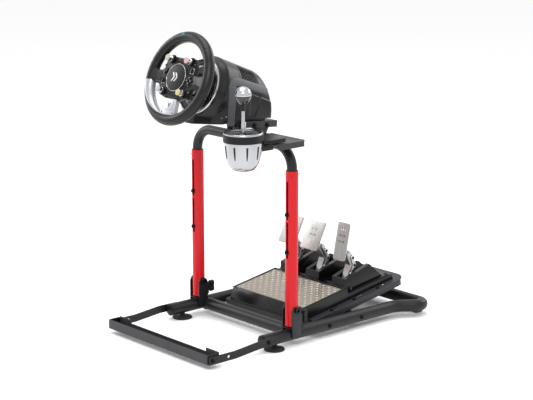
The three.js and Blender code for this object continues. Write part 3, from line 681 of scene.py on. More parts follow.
def build_hoop():
    """The height-adjustable hoop, whose legs run down inside the posts."""
    top, foot = 598.5, 272
    line = bent_line([(-SIDE_X, 0, foot), (-SIDE_X, 0, top), (SIDE_X, 0, top), (SIDE_X, 0, foot)],
                     [65, 65])
    add_piece("hoop_tube_finished", [pipe(line, 15.2, 2, (0, 1, 0))], RIG, "upper",
              black_powder_coat(), ("hoop_tube",))


def build_footrest():
    """The front bar, its arms, end caps and fixing screws."""
    dressed("footrest_bar", "base", grey_powder_coat(), 1.4)
    caps = [side_slab(fillet(oblong(-338, 15.8, -294.5, 44.9), 6), side * 234.4 - 1.8,
                      side * 234.4 + 1.8, 1.2) for side in (-1, 1)]
    add_piece("footrest_end_caps", caps, RIG, "base", moulded_abs())
    for word, side in WORD_SIDES:
        dressed(f"footrest_arm_{word}", "base", black_powder_coat(), 0.9)
        axis = "x" if side > 0 else "-x"
        spots = [(side * 240.2, y, z) for y, z in ((-322, 27), (-110, 36))]
        bolt(f"footrest_bolts_{word}", "base", RIG, spots, axis, 5, 4.6, 7.4)


# ---------------------------------------------------------------- pedals
CASTING_WEB = ((12, 18), (24, 24), (42, 50), (47, 66), (40, 84), (30, 104), (19, 114), (14, 102),
               (30, 70), (14, 32))
CASTING_CHEEK = ((15, 28), (26, 25), (41, 50), (45, 66), (37, 82), (27, 98), (24, 84), (31, 66),
                 (24, 46))
CASTING_BOSSES = ((25, 37), (38, 64), (31, 88))


def build_pedal_deck():
    """The sheet deck, the moulded pedal base with its trims, and the fixing screws."""
    dressed("pedal_deck", "base", grey_powder_coat(), 1.2)
    dressed("pedal_base", "base", pedal_abs(), 1.6)
    rails = [side_slab(fillet(oblong(12, 40.2, 196, 42), 0.6), side * 161 - 1.6,
                       side * 161 + 1.6, 0.5) for side in (-1, 1)]
    fins = [side_slab(fillet(oblong(y, 17.5, y + 5, 20), 0.5), side * 158 - 4, side * 158 + 4, 0.4)
            for y in range(212, 392, 9) for side in (-1, 1)]
    add_piece("pedal_base_rails", rails + fins, PEDAL_DECK, "base", gloss_abs())
    spots = [(x, 386, 18) for x in (-150, -60, 60, 150)]
    bolt("pedal_base_screws", "base", PEDAL_DECK, spots, None, 4, 3, 6)
    spots = [(side * 178, y, 0) for side in (-1, 1) for y in (26, 118, 216, 320)]
    bolt("pedal_deck_screws", "base", PEDAL_DECK, spots, None, 4.2, 3, 6.4)


def build_heel_plate():
    """Tread plate: crossed rows of lens-shaped bars, height 1.5 (1 - u^2)(1 - v^2) mm."""
    spacing = bpy.context.scene.rig_sizes.tread_spacing / MM
    low, high = np.array([-157.7, 24.3]), np.array([157.7, 196.7])
    corners = [(low[0], low[1]), (high[0], low[1]), (high[0], high[1])]
    for centre in (120, 0, -120):
        corners += [(centre + 40, high[1]), (centre + 34, high[1] - 8), (centre - 34, high[1] - 8),
                    (centre - 40, high[1])]
    corners.append((low[0], high[1]))
    top = 39.6
    sheet = slab(fillet(corners, 3), 36.9, top, 0.5)
    u, v = np.meshgrid(np.linspace(-1, 1, 7), np.linspace(-1, 1, 5), indexing="ij")
    lens = np.stack([6.4 * u, 2.3 * v * np.sqrt(np.clip(1 - u ** 2, 0.02, 1)),
                     1.5 * (1 - u ** 2) * (1 - v ** 2)], -1)
    columns = np.arange(low[0] + 9, high[0] - 6, spacing)
    rows = np.arange(low[1] + 9, high[1] - 14, spacing)
    x, y = np.meshgrid(columns, rows, indexing="ij")
    odd = (np.arange(len(columns))[:, None] + np.arange(len(rows))[None]) % 2
    angle = np.where(odd == 1, np.pi / 4, -np.pi / 4).ravel()
    turn = np.stack([np.cos(angle), -np.sin(angle), np.sin(angle), np.cos(angle)], -1).reshape(-1, 2, 2)
    spread = np.einsum("nij,abj->nabi", turn, lens[..., :2])
    spread += np.stack([x.ravel(), y.ravel()], -1)[:, None, None]
    height = np.broadcast_to(lens[None, ..., 2] + top - 0.05, spread.shape[:3])
    bars = np.concatenate([spread, height[..., None]], -1)
    one = quads(7, 5, wrap_columns=False)
    faces = (one[None] + np.arange(len(bars))[:, None, None] * u.size).reshape(-1, 4)
    shapes = [sheet, (bars.reshape(-1, 3), faces.tolist())]
    add_piece("heel_plate_tread", shapes, PEDAL_DECK, "base", tread_aluminium(),
              ("heel_plate",), 30)
    spots = [(x, y, 39.4) for x in (-148, 148) for y in (33, 182)] + [(x, 182, 39.4) for x in (-60, 60)]
    rivets = [moved(turned([[0, 0], [4, 0], [3.6, 1.2], [2, 1.8], [0, 2]], 24), spot) for spot in spots]
    add_piece("heel_plate_rivets", rivets, PEDAL_DECK, "base", satin_steel())


def build_pedals():
    """Brushed foot plates with their drilled rows, flat-bar arms and cast knees."""
    wide = {"foot": (-36, 102), "head": (6, 187), "half": 39, "rows": (0.52, 0.72)}
    narrow = {"foot": (-18, 86), "head": (6, 203), "half": 26, "rows": (0.5, 0.66, 0.82)}
    kinds = (("clutch", wide, 17), ("brake", wide, 0), ("throttle", narrow, 0))
    for name, kind, shift in kinds:
        place = Place(JOINTS[f"{name}_press"]["pos_m"])
        foot, head = np.array(kind["foot"], float), np.array(kind["head"], float)
        length = np.linalg.norm(head - foot)
        along = (head - foot) / length
        away = np.array([along[1], -along[0]])
        half = kind["half"]

        def leaned(shape, x=0.0, row=0.0):
            """A flat shape laid on the plate, a fraction of its length up from its foot."""
            points, faces = shape
            rise = points[:, 1:2] * along + points[:, 2:3] * away + foot + along * length * row
            return np.column_stack([points[:, 0] + x + shift, rise]), faces

        blank = slab(fillet(oblong(-half, 0, half, length), 7, 6), -2, 2, 0.8)
        plate = raw_piece(f"{name}_plate", [leaned(blank)], place)
        carve(plate, [raw_piece("cutter", [leaned(disc(2.9, -6, 6, 20), x, row)], place)
                      for row in kind["rows"] for x in (-9, 0, 9)])
        settle(plate, name, brushed_aluminium(), (f"{name}_face",), 30)
        rib = slab(fillet(oblong(-0.6, length * 0.04, 0.6, length * 0.96), 0.5), -2.5, -1.8, 0.3)
        add_piece(f"{name}_plate_crease", [leaned(rib)], place, name, satin_steel())
        dressed(f"{name}_arm", name, brushed_aluminium(), 0.9)
        web = side_slab(fillet(CASTING_WEB, 3), -8, 8, 2.2)
        cheeks = [side_slab(fillet(CASTING_CHEEK, 3), x - 2, x + 2, 1.2) for x in (-11, 11)]
        boss = turned([[0, -13.4], [6.4, -13.4], [7.4, -12], [7.4, 12], [6.4, 13.4], [0, 13.4]], 28)
        bosses = [moved(boss, (0, y, z), "x") for y, z in CASTING_BOSSES]
        add_piece(f"{name}_casting", [web, *cheeks, *bosses], place, name,
                  cast_aluminium(), angle=30)
        for side, axis, word in ((1, "x", "right"), (-1, "-x", "left")):
            pins = [(side * 13.2, y, z) for y, z in CASTING_BOSSES]
            bolt(f"{name}_casting_screws_{word}", name, place, pins, axis, 4, 2)


# ---------------------------------------------------------------- wheel mount
def build_wheel_mount():
    """The welded bracket, the folded deck, the housing's floor and the clamps with their bolts."""
    dressed("wheel_mount_bracket", "upper", black_powder_coat(), 0.9)
    dressed("wheel_deck", "wheel_base", grey_powder_coat(), 1.2)
    dressed("base_floor", "wheel_base", moulded_abs(), 1.0)
    for word, side in WORD_SIDES:
        axis = "x" if side > 0 else "-x"
        spots = [(side * 88, u, -0.6) for u in (-50, 0)]
        bolt(f"wheel_deck_bolts_{word}", "wheel_base", WHEEL_DECK, spots, axis, 5.2, 5, 8)
        foot = side_slab(fillet([(-88, 641), (-66, 638), (-66, 664), (-84, 664)], 3), side * 71 - 17,
                         side * 71 + 17, 1.4)
        add_piece(f"deck_front_clamp_{word}", [foot], RIG, "wheel_base", moulded_abs())
        bolt(f"deck_front_clamp_screws_{word}", "wheel_base", RIG,
             [(side * 62, -87, 652), (side * 80, -87, 652)], "-y", 4.6, 3)


# ---------------------------------------------------------------- wheel base housing
REAR_Y = 30.0
COLUMN_AHEAD = 241.5  # from the posts to the rim's centre
FLOOR_Z = 667
SKIRT_TOP = 20
CORNER = 9
SHELL_SIDES = 360


def smooth_max(a, b, soft):
    """(a + b + sqrt((a - b)^2 + soft^2)) / 2, eased back by a fifth of soft."""
    return (a + b + np.sqrt((a - b) ** 2 + soft ** 2)) / 2 - soft / 5


def smooth_min(a, b, soft):
    """The mirror of smooth_max."""
    return -smooth_max(-a, -b, soft)


def step(x, low, high):
    """Smooth step: 3 t^2 - 2 t^3 between low and high."""
    t = np.clip((x - low) / (high - low), 0, 1)
    return t * t * (3 - 2 * t)


def drum_radius(s):
    """Radius of the housing's round part, which widens behind its front ring."""
    return 88 + 12 * step(s, 77, 106)


def skirt_half(s):
    """Half the width of the housing's square lower part."""
    return np.interp(s, [77, 90, 103, 125, 276], [26, 46, 68, 95, 95])


def housing_radius(s, angle):
    """Distance from the column to the shell: the larger of a drum and a square skirt, cut off by
    the floor plane. s runs back from the rim, angle runs round the column."""
    c, up = np.cos(angle), np.sin(angle)
    side = skirt_half(s) / np.maximum(np.abs(c), 1e-3)
    top = np.where(up > 0, SKIRT_TOP / np.maximum(up, 1e-3), 1e3)
    body = smooth_max(drum_radius(s), np.minimum(side, top), CORNER)
    tilt = math.radians(RAKE)
    rise = (COLUMN.origin[2] / MM - FLOOR_Z - s * math.sin(tilt)) / math.cos(tilt)
    floor = np.where(up < 0, rise / np.maximum(-up, 1e-3), 1e3)
    return smooth_min(body, floor, 5)


def rear_reach(depth, lift):
    """How far back along the column the upright plane at a depth is met, at a lift off it."""
    tilt = math.radians(RAKE)
    return (depth + COLUMN_AHEAD - lift * math.sin(tilt)) / math.cos(tilt)


def rig_depth_height(s, angle, radius):
    """Depth behind the posts and height above the floor of a point given round the column."""
    tilt = math.radians(RAKE)
    lift = radius * np.sin(angle)
    back = -COLUMN_AHEAD + lift * math.sin(tilt) + s * math.cos(tilt)
    return back, COLUMN.origin[2] / MM + lift * math.cos(tilt) - s * math.sin(tilt)


def build_housing():
    """The wheel base's shell: one polar surface, with a seam, side panels and vent recesses."""
    angle = np.arange(SHELL_SIDES) * 2 * np.pi / SHELL_SIDES
    far = rear_reach(REAR_Y - 13, housing_radius(262.0, angle) * np.sin(angle))
    front = np.concatenate([np.linspace(77, 146, 60), np.linspace(147, 153, 25)])
    back_rows = 154 + (far[None] - 154) * np.linspace(0, 1, 96)[:, None]
    grid_s = np.concatenate([np.broadcast_to(front[:, None], (len(front), SHELL_SIDES)), back_rows])
    grid_a = np.broadcast_to(angle, grid_s.shape)
    radius = housing_radius(grid_s, grid_a)
    back, high = rig_depth_height(grid_s, grid_a, radius)
    flank = step(np.abs(np.cos(grid_a)), 0.55, 0.75)
    line = 783 - 0.33 * (back + 114)
    panel = step(back, -117, -113) * step(line - high, 0, 4)
    panel = panel * step(high, 676, 680) * step(236 - grid_s, 0, 4)
    ledge = step(back, -60, -54) * step(752 - 0.4 * (back + 48) - high, 0, 6)
    vent = step(grid_s, 157, 160) * step(228 - grid_s, 0, 3)
    vent = vent * step(np.abs(np.cos(grid_a)), 0.34, 0.39) * step(0.85 - np.abs(np.cos(grid_a)), 0, 0.03)
    vent = vent * (np.sin(grid_a) > 0)
    radius = radius - flank * panel * (1.6 + 1.4 * ledge) - vent * 4.2
    radius = radius - 0.9 * np.exp(-((grid_s - 150) / 0.7) ** 2)
    x, y = radius * np.cos(grid_a), radius * np.sin(grid_a)
    shell = np.stack([x, y, -grid_s], -1)
    nose = [np.stack([x[0] * (1 - k), y[0] * (1 - k), np.full(SHELL_SIDES, -77 + 2 * k)], -1)
            for k in (0.5, 0.4, 0.3, 0.02)]
    tail = []
    rounding = ((0.992, 4.5), (0.97, 8.5), (0.935, 11.2), (0.89, 12.7), (0.84, 13), (0.5, 13), (0, 13))
    for shrink, out in rounding:
        reach = rear_reach(REAR_Y - 13 + out, y[-1] * shrink)
        tail.append(np.stack([x[-1] * shrink, y[-1] * shrink, -reach], -1))
    points = np.concatenate([np.array(nose), shell, np.array(tail)])
    piece = raw_piece("housing_shell", [grid(points)], COLUMN)
    settle(piece, "wheel_base", housing_abs(),
           ("base_housing_front", "base_housing_rear"), 32)
    for word, side in WORD_SIDES:
        build_side_arch(word, side)
        build_vent(word, side)
    rings = [turned([[34, -77], [62, -77], [62, -73.4], [60, -72], [52, -71.4], [50, -69], [36, -69],
                     [34, -70]], 96, ring=True),
             turned([[64, -77.4], [69, -77.4], [68, -75.4], [65, -75.4]], 96, ring=True)]
    add_piece("housing_bezel_rings", rings, COLUMN, "wheel_base", gloss_abs())
    bright = turned([[77, -77.6], [86.5, -77.6], [86, -75], [84.5, -72.4], [82, -71.6], [78, -72]],
                    128, ring=True)
    add_piece("housing_bright_ring", [bright], COLUMN, "wheel_base", bowl_plate())
    build_rear_panel()
    stud = turned([[0, -1], [2, -1], [2, 0.5], [1.2, 0.9], [0, 0.9]], 20)
    studs = []
    for side, axis in ((-1, "-x"), (1, "x")):
        for s, degrees in ((120, -40), (130, -35)):
            a = math.radians(degrees)
            r = float(housing_radius(s, a))
            studs.append(moved(stud, (side * r * math.cos(a), r * math.sin(a), -s), axis))
    add_piece("housing_side_studs", studs, COLUMN, "wheel_base", satin_steel())


def flank_surface(back, high, side, lift):
    """The point of the shell's flank at a depth and height in the rig, lifted off it along X."""
    tilt = math.radians(RAKE)
    dy, dz = back + COLUMN_AHEAD, high - COLUMN.origin[2] / MM
    up = dy * math.sin(tilt) + dz * math.cos(tilt)
    s = dy * math.cos(tilt) - dz * math.sin(tilt)
    drum = np.sqrt(np.clip(drum_radius(s) ** 2 - up ** 2, 1, None))
    out = smooth_max(drum, np.where(up < SKIRT_TOP, skirt_half(s), 0), CORNER) + lift
    return np.stack([side * out, up, -s], -1)


def build_side_arch(word, side):
    """A raised band up the flank and back along its top: 4 (1 - v^8) mm proud of the shell."""
    corners = [(-127, 0, 660), (-126, 0, 794), (0, 0, 752), (17, 0, 742)]
    line = bent_line(corners, [22, 30], 3.0)
    tangent = np.gradient(line, axis=0)
    tangent /= np.linalg.norm(tangent, axis=1)[:, None]
    v = np.linspace(-1, 1, 19)
    width = 13.5
    back = line[:, 0, None] - tangent[:, 2, None] * v * width
    high = line[:, 2, None] + tangent[:, 0, None] * v * width
    face = flank_surface(back, high, side, 4.0 * (1 - v ** 8)[None] - 0.6)
    under = flank_surface(back, high, side, -3.0)[:, ::-1]
    add_piece(f"housing_arch_{word}", [grid(np.concatenate([face, under], 1))], COLUMN, "wheel_base",
              arch_abs(), angle=50)


def build_vent(word, side):
    """A dark grille in the shoulder recess: slats along the column, a fixed angle apart, over a near-black
    sheet of painted shade.
    """
    s = np.linspace(160.5, 224.5, 24)
    wide, along = np.meshgrid(s, np.radians(np.linspace(33.5, 66.5, 30)), indexing="ij")
    layers = []
    # Painted shade: a near-black sheet under the slats stands for the dark inside of the housing.
    for drop in (3.4, 5.0):
        r = housing_radius(wide, along) - drop
        layers.append(np.stack([side * r * np.cos(along), r * np.sin(along), -wide], -1))
    floor = grid(np.concatenate([layers[0], layers[1][:, ::-1]], 1))
    add_piece(f"housing_vent_painted_shade_{word}", [floor], COLUMN, "wheel_base", painted_shade_and_print())
    slats = []
    half = 0.0085  # of a slat's width, in radians
    for a in np.radians(np.arange(35.5, 66, 3.3)):
        rows = []
        for da, drop in ((-half, 3.6), (-half * 0.8, 0.7), (half * 0.8, 0.7), (half, 3.6)):
            r = housing_radius(s, np.full_like(s, a + da)) - drop
            rows.append(np.stack([side * r * np.cos(a + da), r * np.sin(a + da), -s], -1))
        slats.append(grid(np.stack(rows, 1)))
    add_piece(f"housing_vent_{word}", slats, COLUMN, "wheel_base", housing_abs(),
              angle=30)


def build_rear_panel():
    """The back of the wheel base: a raised panel, cooling slots and generic sockets drawn as near-black
    painted shade, and screws.
    """
    plane = REAR_Y - 0.4

    def plate(x, z, wide, tall, out, corner=1.0):
        """A rounded rectangle on the back plane, standing out from it."""
        outline = fillet(square((x, z), wide / 2, tall / 2), corner)
        points, faces = slab(outline, -1.2, out, 0.4)
        return np.column_stack([points[:, 0], plane + points[:, 2], points[:, 1]]), faces

    panel = plate(0, 712, 128, 62, 1.6, 6)
    add_piece("housing_rear_panel", [panel], RIG, "wheel_base", moulded_abs())
    # Painted shade: the cooling slots are near-black strips laid on the back, for the dark inside seen
    # through them.
    slots = [plate(0, 752 + 5 * k, 96 - 6 * k, 2.2, 0.25) for k in range(8)]
    add_piece("housing_rear_vent_shade", slots, RIG, "wheel_base", painted_shade_and_print())
    frames = [plate(x, 704, wide, 15, 2.8, 1.6) for x, wide in ((-38, 28), (-4, 16), (16, 16), (40, 20))]
    add_piece("housing_socket_frames", frames, RIG, "wheel_base", gloss_abs())
    # Painted shade: each socket's opening is a near-black plate inside its frame, for the dark inside.
    holes = [plate(x, 704, wide, 9, 3.0, 1) for x, wide in ((-38, 20), (-4, 9), (16, 9), (40, 13))]
    add_piece("housing_socket_shade", holes, RIG, "wheel_base", painted_shade_and_print())
    spots = [(x, plane + 1.5, z) for x in (-57, 57) for z in (688, 736)]
    bolt("housing_rear_screws", "wheel_base", RIG, spots, "y", 2.8, 1.6)


# ---------------------------------------------------------------- steering wheel
def build_rim():
    """Leather rim: a torus whose tube dips at its seams by 0.9 exp(-(d / 1.1)^2) mm, spokes that
    grow out of it as rounded boxes, thread along its inside, and the pale centre mark."""
    size = bpy.context.scene.rig_sizes.rim_radius / MM
    tube = 16.0
    angle = np.arange(540) * 2 * np.pi / 540
    section = np.arange(44) * 2 * np.pi / 44
    a, b = np.meshgrid(angle, section, indexing="ij")
    r = np.full_like(a, tube)
    for seam in (45, 149, 17, 163, 197, 343):
        gap = (np.degrees(a) - seam + 180) % 360 - 180
        r -= 0.9 * np.exp(-((np.radians(gap) * size) / 1.1) ** 2)
    r -= 0.5 * np.exp(-((b - np.pi) / 0.09) ** 2)
    out = size + r * np.cos(b)
    points = np.stack([out * np.cos(a), out * np.sin(a), r * np.sin(b)], -1)
    shapes = [grid(points, wrap_rows=True)]
    for side in (-1, 1):
        x = np.linspace(70, size - 6, 30)
        tall = np.interp(x, [70, 92, 118], [19, 15, 24])
        deep = np.interp(x, [70, 92, 118], [7.9, 9.5, 13])
        c, d = np.cos(section), np.sin(section)
        rounded = (np.abs(c) ** 4 + np.abs(d) ** 4) ** -0.25
        y = tall[:, None] * (c * rounded)[None]
        z = deep[:, None] * (d * rounded)[None]
        shapes.append(grid(np.stack([side * np.broadcast_to(x[:, None], y.shape), y, z], -1)))
    add_piece("rim_leather_grip", shapes, COLUMN, "steering", grip_leather(),
              ("wheel_rim",), 50)

    u, v = np.meshgrid(np.linspace(-1, 1, 5), np.linspace(-1, 1, 4), indexing="ij")
    lens = np.stack([0.45 * (1 - u ** 2) * (1 - v ** 2), 1.5 * u, 0.5 * v * np.sqrt(1.02 - u ** 2)], -1)
    spots = np.arange(0, 360, 1.6)
    spots = np.radians(spots[(np.abs((spots + 90) % 180 - 90) > 14)])
    radial = np.stack([-np.cos(spots), -np.sin(spots), 0 * spots], -1)
    around = np.stack([-np.sin(spots), np.cos(spots), 0 * spots], -1)
    up = np.array([0, 0, 1.0])
    centre = -radial * (size - tube + 0.45)
    lean = np.stack([around * 0.94 + up * 0.34, around * 0.94 - up * 0.34], 0)
    threads, faces, one = [], [], quads(5, 4, wrap_columns=False)
    for row, height in ((0, 1.3), (1, -1.3)):
        local = (lens[None, ..., :1] * radial[:, None, None]
                 + lens[None, ..., 1:2] * lean[row][:, None, None] + lens[None, ..., 2:] * up)
        threads.append((centre[:, None, None] + local + up * height).reshape(-1, 3))
        first = np.arange(len(spots))[:, None, None] * u.size
        faces.append((one[None] + first).reshape(-1, 4).tolist())
    add_piece("rim_stitching", list(zip(threads, faces)), COLUMN, "steering",
              moulded_abs())

    at = np.radians(np.linspace(98.9, 101.1, 5))
    face = np.radians(np.linspace(12, 84, 18))
    sides = []
    for r, b in ((tube + 0.14, face), (tube - 0.6, face[::-1])):
        a, b = np.meshgrid(at, b, indexing="ij")
        out = size + r * np.cos(b)
        sides.append(np.stack([out * np.cos(a), out * np.sin(a), r * np.sin(b)], -1))
    mark = grid(np.concatenate(sides, 1))
    add_piece("rim_centre_mark", [mark], COLUMN, "steering", pale_mark())


def build_lower_trim():
    """Silver trim wrapped round the rim's inside, from the left spoke to the bottom, and the lower
    spoke. The covered part of the tube widens along the trim."""
    size = bpy.context.scene.rig_sizes.rim_radius / MM
    degrees = np.linspace(189, 290, 110)
    reach = np.interp(degrees, [189, 193, 239, 281, 290], [104, 126, 66, 20, 12])
    t = np.linspace(0, 1, 30)
    b = np.radians(-62 + (reach[:, None] + 62) * t[None])
    edge = 1 - (2 * t - 1) ** 12
    a = np.radians(degrees)[:, None]
    layers = []
    for r in (15.7 + 1.3 * edge[None], np.full((1, 30), 15.0)):
        out = size - r * np.cos(b)
        layers.append(np.stack([out * np.cos(a), out * np.sin(a), r * np.sin(b)], -1))
    wrap = grid(np.concatenate([layers[0], layers[1][:, ::-1]], 1))
    web = slab(fillet([(-25, -62), (-35, -110), (32, -110), (25, -62)], 2.5), -7, 7.6, 1.4)
    rim_edge = slab(fillet([(-17, -66), (-22, -96), (20, -96), (17, -66)], 2), 7.2, 8.6, 0.8)
    add_piece("lower_spoke_trim", [wrap, web, rim_edge], COLUMN, "steering",
              silver_paint(), ("lower_spoke",), 40)
    wedge = slab(fillet([(-8, -72), (0, -91), (8, -72), (0, -78)], 0.4), 8.3, 8.9, 0.2)
    studs = [moved(turned([[0, 7], [2.4, 7], [2.1, 8.2], [0, 8.4]], 20), (x, -103, 0)) for x in (-25, 23)]
    add_piece("lower_spoke_mark", [wedge, *studs], COLUMN, "steering", gloss_abs())


ROTARIES = (("top_left", (-43, 51, 0), "green", "#98a38c"), ("top_right", (43, 51, 0), "pink", "#b18f8f"),
            ("bottom_left", (-46, -43, 0), "blue", "#97a3a6"),
            ("bottom_right", (46, -43, 0), "yellow", "#b0a96c"))
STICKS = (("right", (57, 26, 0)), ("left", (-57, -14, 0)))
BUTTONS = (("up", (58, 5, 0)), ("down", (58, -11, 0)), ("left", (50, -3, 0)), ("right", (66, -3, 0)))


def button_outline():
    """The mirrored outline of the button plate."""
    turn = np.radians([-11, -5, 1, 7])
    arc = 107.4 * np.stack([np.cos(turn), np.sin(turn)], 1)
    right = [(24, -64), (40, -60), (62, -54), (74, -26), *arc, (72, 15), (66, 42), (58, 62), (34, 60)]
    return [*right, *[(-x, y) for x, y in right[::-1]]]


def build_button_plate():
    """The faceted plate behind the controls, its raised islands, screws, marks and stick seats."""
    plate = slab(fillet(button_outline(), 3.2), -6.5, 6.5, 1.6)
    island = ((50, 14), (68, 10), (70, -14), (60, -22), (48, -18))
    islands = [slab(fillet([(side * x, y) for x, y in island][::side], 2.5), 5.8, 8.3, 1.2)
               for side in (-1, 1)]
    boss = turned([[0, 5], [14, 5], [13, 8.4], [0, 8.4]], 40)
    bosses = [moved(boss, spot) for _, spot, *_ in ROTARIES]
    ring = turned([[46.5, 6], [53, 6], [52, 8.3], [48, 8.7], [46.5, 8.4]], 96, ring=True)
    bezel = turned([[3.7, 8], [4.8, 8], [4.6, 9.8], [3.7, 10.1]], 32, ring=True)
    bezels = [moved(bezel, spot) for _, spot in BUTTONS]
    add_piece("button_plate_moulding", [plate, *islands, *bosses, *bezels, ring], COLUMN, "steering",
              moulded_abs(), ("button_plate",), 30)
    spots = [(side * x, y, 6.4) for side in (-1, 1)
             for x, y in ((60, -47), (66, 32), (24, -58), (26, 56))]
    bolt("button_plate_screws", "steering", COLUMN, spots, None, 2.6, 1.4)
    mark = slab(fillet(square((0, 0), 3, 0.7), 0.5), 6.3, 6.9, 0.2)
    marks = [moved(mark, (x, y, 0)) for x, y in
             ((-60, 46), (60, 46), (-64, -36), (64, -36), (-12, 58), (0, 59), (12, 58))]
    add_piece("button_plate_legends", marks, COLUMN, "steering", silver_paint())
    housings = [slab(fillet(square(spot[:2], 8.5, 8.5), 3), 6, 8.1, 0.9) for _, spot in STICKS]
    gaiter = turned([[8, 7.8], [6.6, 9.6], [5.2, 9.2], [4.8, 11], [3.6, 11.4], [3.4, 8], [5, 7.8]], 40,
                    ring=True)
    gaiters = [moved(gaiter, spot) for _, spot in STICKS]
    add_piece("mini_stick_housings", housings, COLUMN, "steering", satin_steel())
    add_piece("mini_stick_gaiters", gaiters, COLUMN, "steering", moulded_rubber())


def build_hub_cap():
    """Domed hub cap, z = 16.2 - 3.4 (r / 40)^2 mm out to a fine silver ring, with two chevrons."""
    r = np.linspace(38.8, 0, 30)
    dome = np.stack([r, 16.2 - 3.4 * (r / 40) ** 2], 1)
    profile = [[0, 6.6], [46, 6.6], [46, 9.2], [45, 10.6], [41.4, 12.2], [39.2, 12.4], *dome]
    add_piece("hub_cap_dome", [turned(profile, 128)], COLUMN, "steering", moulded_abs(),
              ("hub_cap",), 40)
    ring = turned(circle(0.75, 12) + (40.2, 12.6), 128, ring=True)
    add_piece("hub_cap_ring", [ring], COLUMN, "steering", polished_chrome())
    marks = []
    for x in (-9, 3):
        outline = [(x - 6, -13), (x, -13), (x + 9, 0), (x, 13), (x - 6, 13), (x + 3, 0)]
        points, faces = slab(fillet(outline, 0.8), 0, 0.5, 0.2)
        lift = 16.25 - 3.4 * (points[:, 0] ** 2 + points[:, 1] ** 2) / 1600
        marks.append((points + np.column_stack([np.zeros((len(points), 2)), lift]), faces))
    add_piece("hub_cap_chevrons", marks, COLUMN, "steering", silver_paint())


def build_controls():
    """Rotary knobs, mini sticks, direction pad, action buttons and shift paddles."""
    skirt = slab(lobed(10.4, 0.35, 36, 144), 8.4, 13.4, 0.7)
    barrel = turned([[0, 13], [8.6, 13], [9, 13.6], [9, 17.4], [8.3, 18], [8.3, 19], [9, 19.6],
                     [9, 25.6], [8.4, 26.2], [0, 26.2]], 64)
    cap = turned([[0, 26], [9.2, 26], [9.4, 26.4], [9.4, 28.6], [8.6, 29.4], [4, 29.6], [0, 29.7]], 64)
    for word, spot, tint, code in ROTARIES:
        body = f"rotary_{word}"
        add_piece(f"rotary_{word}_skirt", [moved(skirt, spot)], COLUMN, body,
                  gloss_abs(), (f"rotary_knob_{word}",))
        add_piece(f"rotary_{word}_barrel", [moved(barrel, spot)], COLUMN, body,
                  polished_chrome())
        add_piece(f"rotary_{word}_cap", [moved(cap, spot)], COLUMN, body,
                  tinted_cap(f"{tint}_cap", code))
    stick = turned([[0, 8.9], [2.2, 9.2], [2.4, 10], [2.4, 12.6], [7.6, 13.6], [8, 14.4], [7.4, 16.2],
                    [6.4, 16.6], [5, 16.0], [0, 15.4]], 48)
    for word, spot in STICKS:
        add_piece(f"mini_stick_{word}_cap", [moved(stick, spot)], COLUMN, f"mini_stick_{word}",
                  black_oxide(), (f"mini_stick_{word}",), 30)
    half, reach = 3.4, 10
    cross = [(half, half), (reach, half), (reach, -half), (half, -half), (half, -reach), (-half, -reach),
             (-half, -half), (-reach, -half), (-reach, half), (-half, half), (-half, reach), (half, reach)]
    pad = [moved(shape, (-57, 16, 0))
           for shape in (slab(fillet(cross, 0.9), 9.3, 13.3, 0.8), disc(2, 8.6, 9.6, 24))]
    add_piece("direction_pad_cross", pad, COLUMN, "direction_pad", gloss_abs(),
              ("direction_pad",))
    button = turned([[0, 10.4], [3.4, 10.4], [3.4, 12], [3, 12.5], [0, 12.8]], 32)
    dot = turned([[0, 12.4], [1, 12.4], [0.9, 12.95], [0, 13]], 16)
    for word, spot in BUTTONS:
        body = f"button_{word}"
        add_piece(f"action_button_{word}_cap", [moved(button, spot)], COLUMN, body,
                  gloss_abs(), (f"action_button_{word}",))
        add_piece(f"action_button_{word}_dot", [moved(dot, spot)], COLUMN, body,
                  silver_paint())
    for word in ("left", "right"):
        dressed(f"shift_paddle_{word}", f"paddle_{word}", satin_steel(), 0.6)


def build_column():
    """The shaft behind the wheel with its locking ring, and the drive inside the housing."""
    shaft = turned([[0, 6.8], [26, 6.8], [26, 48], [31, 52], [31, 78], [26, 79], [9, 80], [9, 190],
                    [0, 190]], 96)
    add_piece("column_shaft_turned", [moved(shaft, (0, 0, 0), "-z")], COLUMN, "steering",
              satin_steel(), ("column_shaft",), 30)
    ring = moved(slab(lobed(34, 0.7, 30, 180), 46, 58, 1.2), (0, 0, 0), "-z")
    add_piece("quick_release_ring", [ring], COLUMN, "steering", satin_steel(), angle=30)
    for node, body, slot, material in (("column_pulley", "steering", "zinc_steel", satin_steel()),
                                       ("motor_pulley", "motor_rotor", "zinc_steel", satin_steel()),
                                       ("drive_motor", "wheel_base", "zinc_steel", black_oxide()),
                                       ("drive_belt", "wheel_base", "black_rubber", moulded_rubber())):
        dressed(node, body, material, 0.3)


